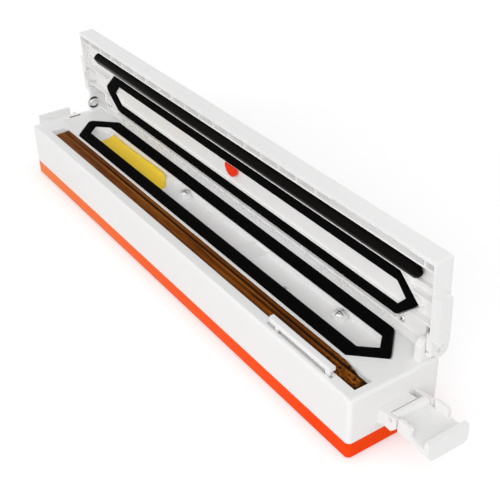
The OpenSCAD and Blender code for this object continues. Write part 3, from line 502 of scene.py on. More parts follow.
@dataclass(frozen=True)
class CoatedCloth:
    """Brown glass cloth with a slick coating, browned by heat.

    One point attribute paints shade, mixed with scorch spots; the other paints a highlight, mixed with pale spots.
    """

    name: str
    pale: Colour = (0.31, 0.105, 0.009)
    brown: Colour = (0.17, 0.04, 0.001)
    scorch_and_shade_colour: Colour = (0.006, 0.0012, 0.0003)
    thread: float = 1100.0
    streaks: Point = (14.0, 560.0, 120.0)
    patches: Point = (130.0, 420.0, 90.0)
    relief: float = 0.05 * MM
    specular: float = 0.04

    def make(self) -> bpy.types.Material:
        """Builds the material and returns it."""
        material, n, shader = new_material(self.name)
        place = n.add("ShaderNodeTexCoord").outputs["Object"]
        streak = n.noise(n.stretch(place, self.streaks), 1.0, 5.0, 0.62)
        patch = n.noise(n.stretch(place, self.patches), 1.0, 4.0, 0.65)
        # Painted shade with scorch spots, and a painted highlight with pale spots, from the cloth's point
        # attributes.
        shade_and_scorch = n.add("ShaderNodeAttribute", attribute_name="shade_and_scorch").outputs["Fac"]
        sheen_and_pale_spots = n.add("ShaderNodeAttribute", attribute_name="sheen_and_pale_spots").outputs["Fac"]
        warp = n.add("ShaderNodeTexWave", bands_direction="X")
        weft = n.add("ShaderNodeTexWave", bands_direction="Y")
        for wave in (warp, weft):
            wave.inputs["Scale"].default_value = self.thread
            n.link(place, wave.inputs["Vector"])
        weave = n.math("MULTIPLY", warp.outputs["Fac"], weft.outputs["Fac"])
        light = n.math("ADD", n.math("MULTIPLY", n.span(streak, 0.48, 0.66), 0.7), sheen_and_pale_spots, True)
        base = n.mix(light, self.brown, self.pale)
        burnt = n.math("MULTIPLY", n.span(patch, 0.52, 0.74), 0.45)
        base = n.mix(burnt, base, self.scorch_and_shade_colour)
        dark = n.math("ADD", shade_and_scorch, n.math("MULTIPLY", n.span(streak, 0.47, 0.33), 0.6), True)
        base = n.mix(dark, base, self.scorch_and_shade_colour)
        base = n.mix(n.math("MULTIPLY", weave, 0.1), base, self.pale)
        n.link(base, shader.inputs["Base Color"])
        n.link(n.span(patch, 0.3, 0.7, 0.34, 0.55), shader.inputs["Roughness"])
        shader.inputs["Specular IOR Level"].default_value = self.specular
        height = n.math("ADD", n.math("MULTIPLY", weave, 0.5), n.math("MULTIPLY", streak, 0.8))
        bump_into(n, shader, height, self.relief)
        return material


@dataclass(frozen=True)
class LabelPaper:
    """Coated paper label: even colour with faint fibres and a rubbed patch."""

    name: str
    colour: Colour = (1.0, 0.7, 0.045)
    rubbed: Colour = (1.0, 0.72, 0.075)
    fibres: Colour = (0.85, 0.48, 0.02)
    fibre_scale: Point = (900.0, 350.0, 900.0)
    relief: float = 0.01 * MM
    specular: float = 0.06

    def make(self) -> bpy.types.Material:
        """Builds the material and returns it."""
        material, n, shader = new_material(self.name)
        place = n.add("ShaderNodeTexCoord").outputs["Object"]
        fibre = n.noise(n.stretch(place, self.fibre_scale), 1.0, 4.0)
        rub_and_sheen = n.noise(place, 70.0, 3.0)
        base = n.mix(n.span(rub_and_sheen, 0.35, 0.75), self.colour, self.rubbed)
        base = n.mix(n.math("MULTIPLY", fibre, 0.08), base, self.fibres)
        n.link(base, shader.inputs["Base Color"])
        n.link(n.span(rub_and_sheen, 0.3, 0.7, 0.5, 0.62), shader.inputs["Roughness"])
        shader.inputs["Specular IOR Level"].default_value = self.specular
        bump_into(n, shader, fibre, self.relief)
        return material


@dataclass(frozen=True)
class PlainGrain:
    """Workaday finish of the inner parts: two tones of one colour with a fine tooth."""

    name: str
    colour: Colour
    dark: Colour
    roughness: float = 0.5
    metallic: float = 0.0
    tooth: float = 0.01 * MM
    tooth_scale: float = 1400.0
    drift_scale: float = 260.0
    edge: float = 0.15 * MM

    def make(self) -> bpy.types.Material:
        """Builds the material and returns it."""
        material, n, shader = new_material(self.name)
        grain = n.group(EFFECTS.grain, tooth_scale=self.tooth_scale,
                        drift_scale=self.drift_scale)
        tone = n.span(grain.outputs["Drift"], 0.35, 0.65)
        n.link(n.mix(tone, self.dark, self.colour), shader.inputs["Base Color"])
        n.link(n.span(grain.outputs["Tooth"], 0.3, 0.7, self.roughness - 0.06,
                      self.roughness + 0.06), shader.inputs["Roughness"])
        shader.inputs["Metallic"].default_value = self.metallic
        bump_into(n, shader, grain.outputs["Tooth"], self.tooth, self.edge)
        return material


class Finish(Enum):
    """Every finish of the object, by the record's material slot that it belongs to."""

    WHITE = "white_plastic"
    ORANGE = "orange_plastic"
    FOAM = "gasket_foam"
    RUBBER = "black_rubber"
    STEEL = "steel"
    FIBRE = "bed_fibre"
    TAPE = "brown_tape"
    LEAD = "lead_insulation"
    LABEL = "yellow_label"
    TUBE = "clear_tube"
    BLACK = "black_plastic"
    GREY = "grey_plastic"
    BOARD = "board_laminate"
    CORE = "core_steel"
    COIL = "coil_copper"
    RED = "red_plastic"
    LAMP = "lamp"


FINISHES: dict[Finish, Recipe] = {
    Finish.WHITE: MouldedPlastic("white_moulding", (0.89, 0.89, 0.887), (0.865, 0.86, 0.855)),
    # The orange gets painted light: it is lighter towards the machine's left end.
    Finish.ORANGE: MouldedPlastic("orange_moulding", (0.98, 0.078, 0.004), (0.95, 0.06, 0.003),
                                  roughness=0.5, specular=0.05, painted_light_tint=(0.95, 0.25, 0.075)),
    Finish.FOAM: SealFoam("gasket_foam"),
    Finish.RUBBER: SolidRubber("black_rubber"),
    Finish.STEEL: BrightMetal("bright_steel"),
    Finish.FIBRE: PlainGrain("bed_fibre", (0.68, 0.66, 0.62), (0.58, 0.56, 0.52), 0.8),
    Finish.TAPE: CoatedCloth("brown_coated_cloth"),
    Finish.LEAD: PlainGrain("lead_insulation", (0.55, 0.03, 0.02), (0.4, 0.02, 0.015), 0.45),
    Finish.LABEL: LabelPaper("yellow_paper"),
    Finish.TUBE: PlainGrain("soft_tube", (0.62, 0.66, 0.62), (0.5, 0.55, 0.5), 0.3),
    Finish.BLACK: MouldedPlastic("black_moulding", (0.022, 0.022, 0.024), (0.016, 0.016, 0.018),
                                 roughness=0.5),
    Finish.GREY: MouldedPlastic("grey_moulding", (0.42, 0.44, 0.47), (0.38, 0.4, 0.43)),
    Finish.BOARD: PlainGrain("board_laminate", (0.03, 0.2, 0.07), (0.02, 0.13, 0.05), 0.35),
    Finish.CORE: PlainGrain("core_plates", (0.2, 0.2, 0.22), (0.12, 0.12, 0.13), 0.45, 0.8),
    Finish.COIL: PlainGrain("enamelled_wire", (0.6, 0.26, 0.07), (0.4, 0.15, 0.03), 0.35, 0.7),
    Finish.RED: MouldedPlastic("red_moulding", (1.0, 0.04, 0.006), (0.97, 0.03, 0.005),
                               roughness=0.24, specular=0.2),
    Finish.LAMP: PlainGrain("lamp_lens", (0.2, 0.75, 0.3), (0.15, 0.6, 0.22), 0.2),
}
# The lid's liner is all thin ribs, so its edges are left unshaded
RIBBED = MouldedPlastic("ribbed_white_moulding", (0.89, 0.887, 0.882), (0.86, 0.853, 0.845),
                        edge=0.0)
MATERIALS: dict[Finish, bpy.types.Material] = {}


# ---------------------------------------------------------------- mesh helpers


def box_mm(node: str) -> tuple[Vector, Vector]:
    """Lowest and highest corner of a construction node, in millimetres."""
    low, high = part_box(node)
    return Vector(low) / MM, Vector(high) / MM


def mesh_object(name: str, verts: Sequence[Point], faces: Sequence[Face], finish: Finish,
                body: str) -> bpy.types.Object:
    """Makes a finished piece from points in millimetres.

    Args:
        name: the piece's name.
        verts: points in millimetres, in the frame of the construction model.
        faces: point numbers of each face, seen from outside.
        finish: the finish that it gets.
        body: the body that it rides on.

    Returns:
        The new object, at the origin, riding on its body.
    """
    mesh = bpy.data.meshes.new(name)
    mesh.from_pydata([tuple(c * MM for c in v) for v in verts], [], faces)
    mesh.validate()
    mesh.update()
    for polygon in mesh.polygons:
        polygon.use_smooth = True
    obj = bpy.data.objects.new(name, mesh)
    bpy.context.scene.collection.objects.link(obj)
    mesh.materials.append(MATERIALS[finish])
    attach(obj, body)
    return obj


def recalculate(obj: bpy.types.Object) -> None:
    """Turns every face of a closed mesh outwards.

    Args:
        obj: the mesh's object.
    """
    work = bmesh.new()
    work.from_mesh(obj.data)
    bmesh.ops.recalc_face_normals(work, faces=work.faces)
    work.to_mesh(obj.data)
    work.free()
    obj.data.update()


def bell(value: float, centre: float, width: float) -> float:
    """A smooth bump of height 1 around a centre."""
    return math.exp(-((value - centre) / width) ** 2)


def ramp(value: float, start: float, stop: float) -> float:
    """A smooth step from 0 at start to 1 at stop."""
    t = max(0.0, min(1.0, (value - start) / (stop - start)))
    return t * t * (3 - 2 * t)


def closed_sheet(top: list[Point], columns: int, rows: int, under: Point
                 ) -> tuple[list[Point], list[Face]]:
    """Gives a grid of points a thickness and closes its rim.

    Args:
        top: points of the outer side, column by column.
        columns: steps along the first direction.
        rows: steps along the second direction.
        under: step from the outer side to the inner one, in millimetres.

    Returns:
        Points and faces of the closed sheet.
    """
    width = rows + 1
    base = len(top)
    faces: list[Face] = []
    for i in range(columns):
        for j in range(rows):
            a, b = i * width + j, (i + 1) * width + j
            faces.append((a, b, b + 1, a + 1))
            faces.append((base + a, base + a + 1, base + b + 1, base + b))
    rim = [i * width for i in range(columns + 1)]
    rim += [columns * width + j for j in range(1, width)]
    rim += [i * width + rows for i in reversed(range(columns))]
    rim += list(reversed(range(1, rows)))
    for k, a in enumerate(rim):
        b = rim[(k + 1) % len(rim)]
        faces.append((a, base + a, base + b, b))
    return top + [(x + under[0], y + under[1], z + under[2]) for x, y, z in top], faces


def point_values(obj: bpy.types.Object, name: str, values: Sequence[float]) -> None:
    """Writes one number per point of a mesh for its material to read."""
    layer = obj.data.attributes.new(name, "FLOAT", "POINT")
    layer.data.foreach_set("value", list(values))


@dataclass(frozen=True)
class LidPlace:
    """Maps places in the closed lid to the open pose that the model stands in.

    A place is x and y of the closed machine, with z counted up from the lid's rim.
    """

    axis_y: float
    axis_z: float
    angle: float
    rim_drop: float = 6.1           # how far the rim lies below the axis

    def at(self, x: float, y: float, z: float) -> Point:
        """Turns a closed-lid place into a point of the model.

        Args:
            x: place along the machine.
            y: place from front to back.
            z: height above the lid's rim.

        Returns:
            The point in the open pose, in millimetres.
        """
        turn = math.radians(-self.angle)
        dy = y - self.axis_y
        dz = z - self.rim_drop
        return (x, self.axis_y + dy * math.cos(turn) - dz * math.sin(turn),
                self.axis_z + dy * math.sin(turn) + dz * math.cos(turn))


def lid_place() -> LidPlace:
    """Reads the hinge from the frame.

    Returns:
        The lid's mapping.
    """
    hinge = next(j for j in frame["joints"] if j["name"] == "lid_hinge")
    _, y, z = (c / MM for c in hinge["pos_m"])
    return LidPlace(y, z, max(hinge["range_deg"]))


# ---------------------------------------------------------------- gasket rings


@dataclass(frozen=True)
class PointedRing:
    """Outline of a gasket: a long hexagon with a pointed tip at each end, in millimetres.

    tip0 and tip1 are how far the left and the right tip reach past the long sides.
    """

    x0: float
    x1: float
    y0: float
    y1: float
    tip0: float
    tip1: float

    def corners(self) -> list[tuple[float, float]]:
        """The six corners, from the left tip and round by the front."""
        mid = (self.y0 + self.y1) / 2
        return [(self.x0, mid), (self.x0 + self.tip0, self.y0), (self.x1 - self.tip1, self.y0),
                (self.x1, mid), (self.x1 - self.tip1, self.y1), (self.x0 + self.tip0, self.y1)]

    def rounded(self, radius: float, steps: int = 6, straight: int = 40
                ) -> list[tuple[float, float]]:
        """The outline with round corners and points along its long sides.

        Args:
            radius: radius of every corner.
            steps: points on each corner's arc.
            straight: points along each side.

        Returns:
            Points of the closed outline.
        """
        points: list[tuple[float, float]] = []
        corners = [Vector(c) for c in self.corners()]
        count = len(corners)
        for i, corner in enumerate(corners):
            before = (corners[i - 1] - corner).normalized()
            after = (corners[(i + 1) % count] - corner).normalized()
            half = before.angle(after) / 2
            reach = radius / math.tan(half)
            start, end = corner + before * reach, corner + after * reach
            for k in range(steps + 1):
                t = k / steps
                curve = (1 - t) ** 2 * start + 2 * t * (1 - t) * corner + t ** 2 * end
                points.append((curve.x, curve.y))
            following = corners[(i + 1) % count]
            back = (corner - following).normalized()
            ahead = (corners[(i + 2) % count] - following).normalized()
            stop = following + back * (radius / math.tan(back.angle(ahead) / 2))
            for k in range(1, straight):
                place = end.lerp(stop, k / straight)
                points.append((place.x, place.y))
        return points


@dataclass
class GasketRing:
    """A foam ring with a softly crowned top, pressed into its groove.

    low and high are its foot and its top, as "place" counts heights.
    """

    name: str
    node: str
    body: str
    outer: PointedRing
    inner: PointedRing
    low: float
    high: float
    place: Place
    band: float = 7.0
    edge: float = 0.6
    edge_steps: int = 4
    crown: float = 0.12
    sway: float = 0.06
    outer_round: float = 3.4
    inner_round: float = 0.6
    fill: float = 0.95

    def section(self) -> list[tuple[float, float]]:
        """Works out the section of the band.

        Returns:
            Share of the band's width and of its height for each line, from outside.
        """
        span = abs(self.high - self.low)
        points = [(0.0, 0.0), (0.0, 1 - self.edge / span)]
        for k in range(1, self.edge_steps + 1):
            a = math.pi / 2 * k / self.edge_steps
            points.append((self.edge / self.band * (1 - math.cos(a)),
                           1 - self.edge / span * (1 - math.sin(a))))
        points.append((0.5, 1.0 + self.crown / span))
        mirrored = [(1 - s, h) for s, h in reversed(points[:-1])]
        return points + mirrored

    def build(self) -> bpy.types.Object:
        """Makes the ring, replaces its construction solid and returns it."""
        outer = self.outer.rounded(self.outer_round)
        inner = self.inner.rounded(self.inner_round)
        section = self.section()
        span = self.high - self.low
        verts: list[Point] = []
        for (ox, oy), (ix, iy) in zip(outer, inner):
            for share, height in section:
                x, y = ox + (ix - ox) * share, oy + (iy - oy) * share
                sway = noise.noise(Vector((x * 0.08, y * 0.3, self.low))) * self.sway
                verts.append(self.place(x, y, self.low + span * height + sway * height))
        count, lines = len(outer), len(section)
        faces = []
        for i in range(count):
            j = (i + 1) % count
            for k in range(lines):
                m = (k + 1) % lines
                faces.append((i * lines + k, j * lines + k, j * lines + m, i * lines + m))
        ring = mesh_object(self.name, verts, faces, Finish.FOAM, self.body)
        recalculate(ring)
        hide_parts(self.node)
        return ring


@dataclass
class Gaskets:
    """The deck's ring and the lid's, which meet when the lid is shut, in millimetres."""

    place: LidPlace
    deck_tips: tuple[float, float] = (15.5, 15.0)
    deck_inner_tips: tuple[float, float] = (7.75, 7.15)
    deck_band: tuple[float, float, float] = (9.5, 8.0, 7.5)     # left, right, along the sides
    deck_drop: float = 0.22
    lid_tips: tuple[float, float] = (15.0, 13.5)
    lid_inner_tips: tuple[float, float] = (7.0, 6.0)
    lid_band: tuple[float, float, float] = (13.4, 7.5, 5.7)     # left, right, front
    lid_front: float = -7.1
    lid_width: float = 25.3
    lid_hole_back: float = 19.2
    lid_heights: tuple[float, float] = (4.3, 1.32)

    def deck(self) -> GasketRing:
        """Works out the deck's ring.

        Returns:
            The ring, not yet built.
        """
        low, high = box_mm("lower_gasket")
        left, right, side = self.deck_band
        outer = PointedRing(low.x, high.x, low.y, high.y, *self.deck_tips)
        inner = PointedRing(low.x + left, high.x - right, low.y + side, high.y - side,
                            *self.deck_inner_tips)
        return GasketRing("deck_foam_ring", "lower_gasket", "housing", outer, inner, low.z,
                          high.z - self.deck_drop, lambda x, y, z: (x, y, z))

    def lid(self) -> GasketRing:
        """Works out the lid's ring.

        Returns:
            The ring, not yet built.
        """
        low, high = box_mm("upper_gasket")
        left, right, side = self.lid_band
        front = self.lid_front
        outer = PointedRing(low.x, high.x, front, front + self.lid_width, *self.lid_tips)
        inner = PointedRing(low.x + left, high.x - right, front + side,
                            front + self.lid_hole_back, *self.lid_inner_tips)
        return GasketRing("lid_foam_ring", "upper_gasket", "lid", outer, inner,
                          *self.lid_heights, self.place.at)

    def build(self) -> list[bpy.types.Object]:
        """Makes both rings and returns them."""
        return [self.deck().build(), self.lid().build()]


# ---------------------------------------------------------------- heater


@dataclass
class HeaterStrip:
    """The coated cloth over the heating wire, with its ridge, creases and crumpled right end.

    Lengths are in millimetres, and places across the strip are shares of its width.
    """

    body: str = "housing"
    columns: int = 460
    rows: int = 34
    thickness: float = 0.2
    widen: float = 0.18             # how far it laps past its construction solid
    lie: float = 0.32               # height above the bed where it lies flat
    lowest: float = 0.3
    highest: float = 1.45
    ridge: float = 1.22             # height over the wire
    ridge_width: float = 0.1
    back_rise: float = 0.95         # slope up to the trough's back wall
    front_rise: float = 0.24
    swell: float = 0.14
    ripple: float = 0.05
    end_bulge: float = 0.95         # height over the wire's terminals
    crumple: float = 0.7
    crumple_run: float = 36.0       # length of the crumpled right end
    end_sag: float = 0.45
    narrow: float = 2.2             # how far the back edge draws in at the right end
    narrow_run: float = 26.0

    def height(self, x: float, v: float, x0: float, x1: float, wire: float) -> float:
        """Height of the cloth above the heater bed.

        Args:
            x: place along the strip.
            v: share of the width, from the front.
            x0: the strip's left end.
            x1: the strip's right end.
            wire: the wire's share of the width.

        Returns:
            The height in millimetres.
        """
        back = ramp(v, wire + 0.14, 0.95) * (self.back_rise + 0.15 * bell(x, x0 + 60, 70))
        front = bell(v, 0.28, 0.2) * self.front_rise
        slow = noise.noise(Vector((x * 0.045, v * 3.0, 1.7))) * self.swell
        fine = noise.noise(Vector((x * 0.22, v * 7.0, 4.2))) * self.ripple
        left = bell(x, x0, 7.0) * (0.35 + 0.55 * v)
        end = ramp(x, x1 - self.crumple_run, x1 - 12)
        crumple = noise.noise(Vector((x * 0.36, v * 7.0, 9.1))) * self.crumple * end
        sag = self.end_sag * ramp(x, x1 - 14, x1 - 2) * (1 - 0.6 * v)
        lift = self.lie + back + front + slow + fine + left + crumple - sag
        over_ends = max(bell(x, x1, 9.0), bell(x, x0, 9.0)) * bell(v, wire, 0.3)
        lift = max(lift, self.lowest, self.end_bulge * min(1.0, 1.6 * over_ends))
        if lift < self.ridge:
            lift += (self.ridge - lift) * bell(v, wire, self.ridge_width)
        return min(self.highest, lift)

    def tones(self, x: float, v: float, across: float, x0: float, x1: float, wire: float
              ) -> tuple[float, float]:
        """How dark a fold and how pale a crest is at a point.

        Args:
            x: place along the strip.
            v: share of the width there, from the front.
            across: share of the strip's full width, from the front.
            x0: the strip's left end.
            x1: the strip's right end.
            wire: the wire's share of the full width.

        Returns:
            The painted shade's value, with scorch spots, and the painted highlight's, with pale spots, from 0 to
            1.
        """
        near = 0.35 + 0.65 * ramp(x, x0 + 25, x0 + 80)
        # Painted shade: the valley behind the ridge, a line at the ridge's front, the strip's edges and its right
        # tip.
        valley = 1.2 * bell(across, wire + 0.155, 0.08) * near
        front_line = 0.35 * bell(across, wire - 0.11, 0.04)
        edge = 0.8 * bell(v, 0.0, 0.035) + 0.5 * bell(v, 1.0, 0.03)
        tip = 0.9 * bell(x, x1, 2.4)
        end = ramp(x, x1 - self.crumple_run, x1 - 14)
        spot = noise.noise(Vector((x * 0.7, v * 9.0, 3.3))) * 1.7 * end
        # Painted highlight along the wire's ridge.
        rub_and_sheen = 0.8 * bell(across, wire, 0.04) * (1 - bell(x, x0, 8.0))
        shade_and_scorch = min(1.0, valley + front_line + edge + tip + max(0.0, spot))
        return shade_and_scorch, min(1.0, rub_and_sheen + max(0.0, -spot))

    def build(self) -> bpy.types.Object:
        """Makes the cloth, replaces its construction solid and returns it."""
        low, high = box_mm("heater_tape")
        wire_low, wire_high = box_mm("heating_element")
        y0, y1 = low.y - self.widen, high.y + self.widen
        wire = ((wire_low.y + wire_high.y) / 2 - y0) / (y1 - y0)
        top: list[Point] = []
        shade_and_scorch_values: list[float] = []
        sheen_and_pale_spot_values: list[float] = []
        for i in range(self.columns + 1):
            x = low.x + (high.x - low.x) * i / self.columns
            back = y1 - self.narrow * ramp(x, high.x - self.narrow_run, high.x) ** 1.3
            for j in range(self.rows + 1):
                v = j / self.rows
                bow = 0.5 * bell(v, 0.5, 0.4) * bell(x, high.x, 2.0)
                y = y0 + (back - y0) * v
                across = (y - y0) / (y1 - y0)
                top.append((x + bow, y, low.z + self.height(x, across, low.x, high.x, wire)))
                shade_and_scorch, sheen_and_pale_spots = self.tones(x, v, across, low.x, high.x, wire)
                shade_and_scorch_values.append(shade_and_scorch)
                sheen_and_pale_spot_values.append(sheen_and_pale_spots)
        verts, faces = closed_sheet(top, self.columns, self.rows, (0.0, 0.0, -self.thickness))
        cloth = mesh_object("heater_cloth", verts, faces, Finish.TAPE, self.body)
        recalculate(cloth)
        # Painted shade and painted highlight, each with real spots, for the cloth's material.
        point_values(cloth, "shade_and_scorch", shade_and_scorch_values * 2)
        point_values(cloth, "sheen_and_pale_spots", sheen_and_pale_spot_values * 2)
        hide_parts("heater_tape")
        return cloth


# ---------------------------------------------------------------- label


@dataclass
class CurledLabel:
    """The bare paper label on the channel's floor, its back edge curling up at the wall."""

    body: str = "housing"
    columns: int = 90
    rows: int = 16
    thickness: float = 0.1
    lie: float = 0.22               # height above the floor where it lies flat
    curl: float = 1.5
    corner: float = 0.8             # lift of the back left corner
    swell: float = 0.16
    slant: float = 0.12             # of the left edge
    # The right edge by stretches: y where each starts, x there, and its slope
    cut: tuple[Point, ...] = ((0.0, -47.0, -0.17), (7.2, -48.2, -1.86), (12.7, -58.4, -7.0))

    def right_end(self, y: float) -> float:
        """Place of the right edge, which is cut off slantwise towards the back.

        Args:
            y: place from front to back.

        Returns:
            The edge's x in millimetres.
        """
        passed = [stretch for stretch in self.cut if y >= stretch[0]]
        start, x, slope = passed[-1] if passed else self.cut[0]
        return x + slope * (y - start)

    def build(self) -> bpy.types.Object:
        """Makes the label, replaces its construction solid and returns it."""
        low, high = box_mm("channel_label")
        top: list[Point] = []
        for i in range(self.columns + 1):
            u = i / self.columns
            for j in range(self.rows + 1):
                v = j / self.rows
                y = low.y - 0.2 + (high.y - low.y + 0.1) * v
                x0 = low.x + 0.6 - self.slant * y
                x = x0 + (self.right_end(y) - x0) * u
                curl = self.curl * ramp(v, 0.7, 1.0) ** 1.4 * (0.35 + 0.65 * ramp(u, 0.35, 0.95))
                swell = self.swell * noise.noise(Vector((x * 0.06, y * 0.12, 2.2)))
                corner = self.corner * bell(u, 0.0, 0.05) * ramp(v, 0.55, 1.0)
                top.append((x, y, low.z + self.lie + curl + abs(swell) + corner))
        verts, faces = closed_sheet(top, self.columns, self.rows, (0.0, 0.0, -self.thickness))
        label = mesh_object("curled_label", verts, faces, Finish.LABEL, self.body)
        recalculate(label)
        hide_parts("channel_label")
        return label


# ---------------------------------------------------------------- press strip


@dataclass
class PressStrip:
    """The rubber strip in the lid that presses the bag on the heater.

    Heights are counted up from the rim of the closed lid, in millimetres.
    """

    place: LidPlace
    body: str = "lid"
    y_mid: float = -13.55
    half: float = 3.75
    top: float = -1.1
    foot: float = 2.4
    inset: float = 0.4              # how far the flat back lies inside its seat
    flatness: float = 0.6           # power that flattens the rounded face
    steps: int = 14
    run: int = 60
    arc: int = 24
    sheen_from: float = 20.0         # where the painted sheen is strongest, from the left end
    sheen_reach: float = 130.0
    sheen_line: tuple[float, float] = (0.62, 0.68)   # its share round the face, left and right
    sheen_width: float = 0.07

    def stations(self, x0: float, x1: float) -> list[tuple[float, float]]:
        """Places along the strip, with the share of its width, which rounds off its ends.

        Args:
            x0: the left end.
            x1: the right end.

        Returns:
            Place and share of each section, from left to right.
        """
        half = self.half
        turns = [math.pi / 2 * k / self.steps for k in range(self.steps + 1)]
        shares = [(half * (1 - math.cos(a)), max(0.02, math.sin(a))) for a in turns]
        straight = x1 - x0 - 2 * half
        return ([(x0 + reach, share) for reach, share in shares]
                + [(x0 + half + straight * k / self.run, 1.0) for k in range(1, self.run)]
                + [(x1 - reach, share) for reach, share in reversed(shares)])

    def section(self, x: float, share: float) -> list[Point]:
        """Points of one section: the rounded face, then the two corners of the back.

        Args:
            x: place along the strip.
            share: share of the strip's width.

        Returns:
            The points, in the open pose.
        """
        points: list[Point] = []
        for k in range(self.arc + 1):
            a = math.pi * k / self.arc
            y = self.y_mid - math.cos(a) * self.half * share
            rise = max(0.0, math.sin(a)) ** self.flatness
            points.append(self.place.at(x, y, self.foot + (self.top - self.foot) * rise))
        for side in (1, -1):
            points.append(self.place.at(x, self.y_mid + side * self.half * share,
                                        self.foot + self.inset))
        return points

    def dust_and_sheen(self, x: float, share: float, x0: float) -> list[float]:
        """How much painted sheen each point of a section gets: a highlight line along the side towards the hinge.

        Args:
            x: place along the strip.
            share: share of the strip's width.
            x0: the left end, near which the painted sheen is strongest.

        Returns:
            A value from 0 to 1 for each point of the section.
        """
        left, right = self.sheen_line
        start = x0 + self.sheen_from
        strength = share * (0.4 + 0.6 * bell(x, start, self.sheen_reach))
        centre = left + (right - left) * ramp(x, start, x0 + self.sheen_reach)
        face = [strength * bell(k / self.arc, centre, self.sheen_width)
                for k in range(self.arc + 1)]
        return face + [0.0, 0.0]

    def build(self) -> bpy.types.Object:
        """Makes the strip, replaces its construction solid and returns it."""
        low, high = box_mm("press_strip")
        verts: list[Point] = []
        painted_sheen: list[float] = []
        stations = self.stations(low.x, high.x)
        for x, share in stations:
            verts += self.section(x, share)
            painted_sheen += self.dust_and_sheen(x, share, low.x)
        lines = self.arc + 3
        faces: list[Face] = []
        for i in range(len(stations) - 1):
            for k in range(lines):
                m = (k + 1) % lines
                faces.append((i * lines + k, (i + 1) * lines + k, (i + 1) * lines + m,
                              i * lines + m))
        faces.append(tuple(range(lines)))
        faces.append(tuple(reversed(range(len(verts) - lines, len(verts)))))
        strip = mesh_object("press_rubber", verts, faces, Finish.RUBBER, self.body)
        recalculate(strip)
        # Painted sheen along the side towards the hinge.
        point_values(strip, "painted_sheen", painted_sheen)
        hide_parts("press_strip")
        return strip


# ---------------------------------------------------------------- switch slot


@dataclass
class SlotShadeSheet:
    """A thin brown sheet against the wall of the lid switch's slot in the deck: painted shade that darkens the
    slot.
    """

    body: str = "housing"
    wall: float = -169.1
    front: float = -0.75
    back: float = 7.35
    foot: float = 33.0
    top: float = 35.74
    thickness: float = 0.16
    bow: float = 0.05
    nick: float = 0.12              # how much lower its two ends are
    columns: int = 24
    rows: int = 6

    def build(self) -> bpy.types.Object:
        """Makes the sheet of painted shade, slightly bowed along its length, and returns it."""
        points: list[Point] = []
        for i in range(self.columns + 1):
            u = i / self.columns
            y = self.front + (self.back - self.front) * u
            for j in range(self.rows + 1):
                v = j / self.rows
                bow = self.bow * math.sin(math.pi * u) * v
                nick = self.nick * (bell(u, 0.0, 0.05) + bell(u, 1.0, 0.05)) * v
                points.append((self.wall + self.thickness + bow, y,
                               self.foot + (self.top - self.foot) * v - nick))
        verts, faces = closed_sheet(points, self.columns, self.rows, (-self.thickness, 0.0, 0.0))
        # Painted shade: a brown sheet where the slot's wall would show lit.
        shade_sheet = mesh_object("switch_slot_leaf", verts, faces, Finish.TAPE, self.body)
        recalculate(shade_sheet)
        return shade_sheet


# ---------------------------------------------------------------- turned and repeated pieces


def revolve(profile: Sequence[tuple[float, float]], spokes: int, place: Place
            ) -> tuple[list[Point], list[Face]]:
    """Turns a profile about an axis into a closed shape.

    Args:
        profile: radius and height of each line, from the pole on top to the pole below.
        spokes: steps around the axis.
        place: maps a point with the axis along z to where it belongs.

    Returns:
        Points and faces.
    """
    rings = profile[1:-1]
    turns = [2 * math.pi * k / spokes for k in range(spokes)]
    verts = [place(r * math.cos(a), r * math.sin(a), h) for r, h in rings for a in turns]
    top, foot = len(verts), len(verts) + 1
    verts += [place(0.0, 0.0, profile[0][1]), place(0.0, 0.0, profile[-1][1])]
    faces: list[Face] = []
    for k in range(spokes):
        m = (k + 1) % spokes
        for j in range(len(rings) - 1):
            faces.append((j * spokes + k, (j + 1) * spokes + k, (j + 1) * spokes + m,
                          j * spokes + m))
        last = (len(rings) - 1) * spokes
        faces.append((top, k, m))
        faces.append((foot, last + m, last + k))
    return verts, faces


@dataclass(frozen=True)
class ScrewShape:
    """A domed screw with a cross recess: the head's seat at z = 0 and the shank below it.

    The head's and the shank's radius and length come first, then the recess's length,
    width and depth, all in millimetres.
    """

    head_r: float
    head_h: float
    shank_r: float
    shank_l: float
    cross_l: float
    cross_w: float
    cross_d: float
    dome: float = 0.5
    rim: float = 0.35
    tip: float = 0.5
    spokes: int = 96

    def cross(self, x: float, y: float) -> float:
        """Share of the recess's depth at a point of the head.

        Args:
            x: distance from the axis along one arm.
            y: distance from the axis along the other arm.

        Returns:
            1 in the recess, 0 outside it and a slope between.
        """
        x, y = abs(x), abs(y)
        long, half = self.cross_l / 2, self.cross_w / 2
        away = min(max(x - long, y - half), max(x - half, y - long))
        return 1 - ramp(away, -0.05, 0.07)

    def profile(self) -> list[tuple[float, float]]:
        """Works out the turned outline.

        Returns:
            Radius and height of each line, from the head's pole to the shank's tip.
        """
        flat = self.head_r - self.rim
        steps = max(12, round(flat / 0.1))
        lines = [(0.0, self.head_h)]
        for k in range(1, steps + 1):
            r = flat * k / steps
            lines.append((r, self.head_h - self.dome * (r / self.head_r) ** 2))
        side = self.head_h - self.dome
        lines += [(self.head_r - 0.1, side - 0.05), (self.head_r, side - 0.3),
                  (self.head_r, 0.08), (self.head_r - 0.1, 0.0), (self.shank_r, 0.0),
                  (self.shank_r, -self.shank_l), (self.shank_r * 0.5, -self.shank_l - self.tip),
                  (0.0, -self.shank_l - self.tip)]
        return lines

    def solid(self, facing: Vector) -> tuple[list[Point], list[Face], list[float]]:
        """Makes the screw with its head facing a direction.

        Args:
            facing: the direction.

        Returns:
            Its points, faces and the painted shade at each point, which darkens the cross recess.
        """
        turn = facing.to_track_quat("Z", "Y").to_matrix()
        painted_shade: list[float] = []

        def place(x: float, y: float, z: float) -> Point:
            """Sinks the recess, turns the point and notes its painted shade."""
            cut = self.cross(x, y) if z > self.head_h - self.dome else 0.0
            # Painted shade: the cross recess is darkened as deep as it is cut.
            painted_shade.append(cut)
            return tuple(turn @ Vector((x, y, z - cut * self.cross_d)))

        verts, faces = revolve(self.profile(), self.spokes, place)
        return verts, faces, painted_shade


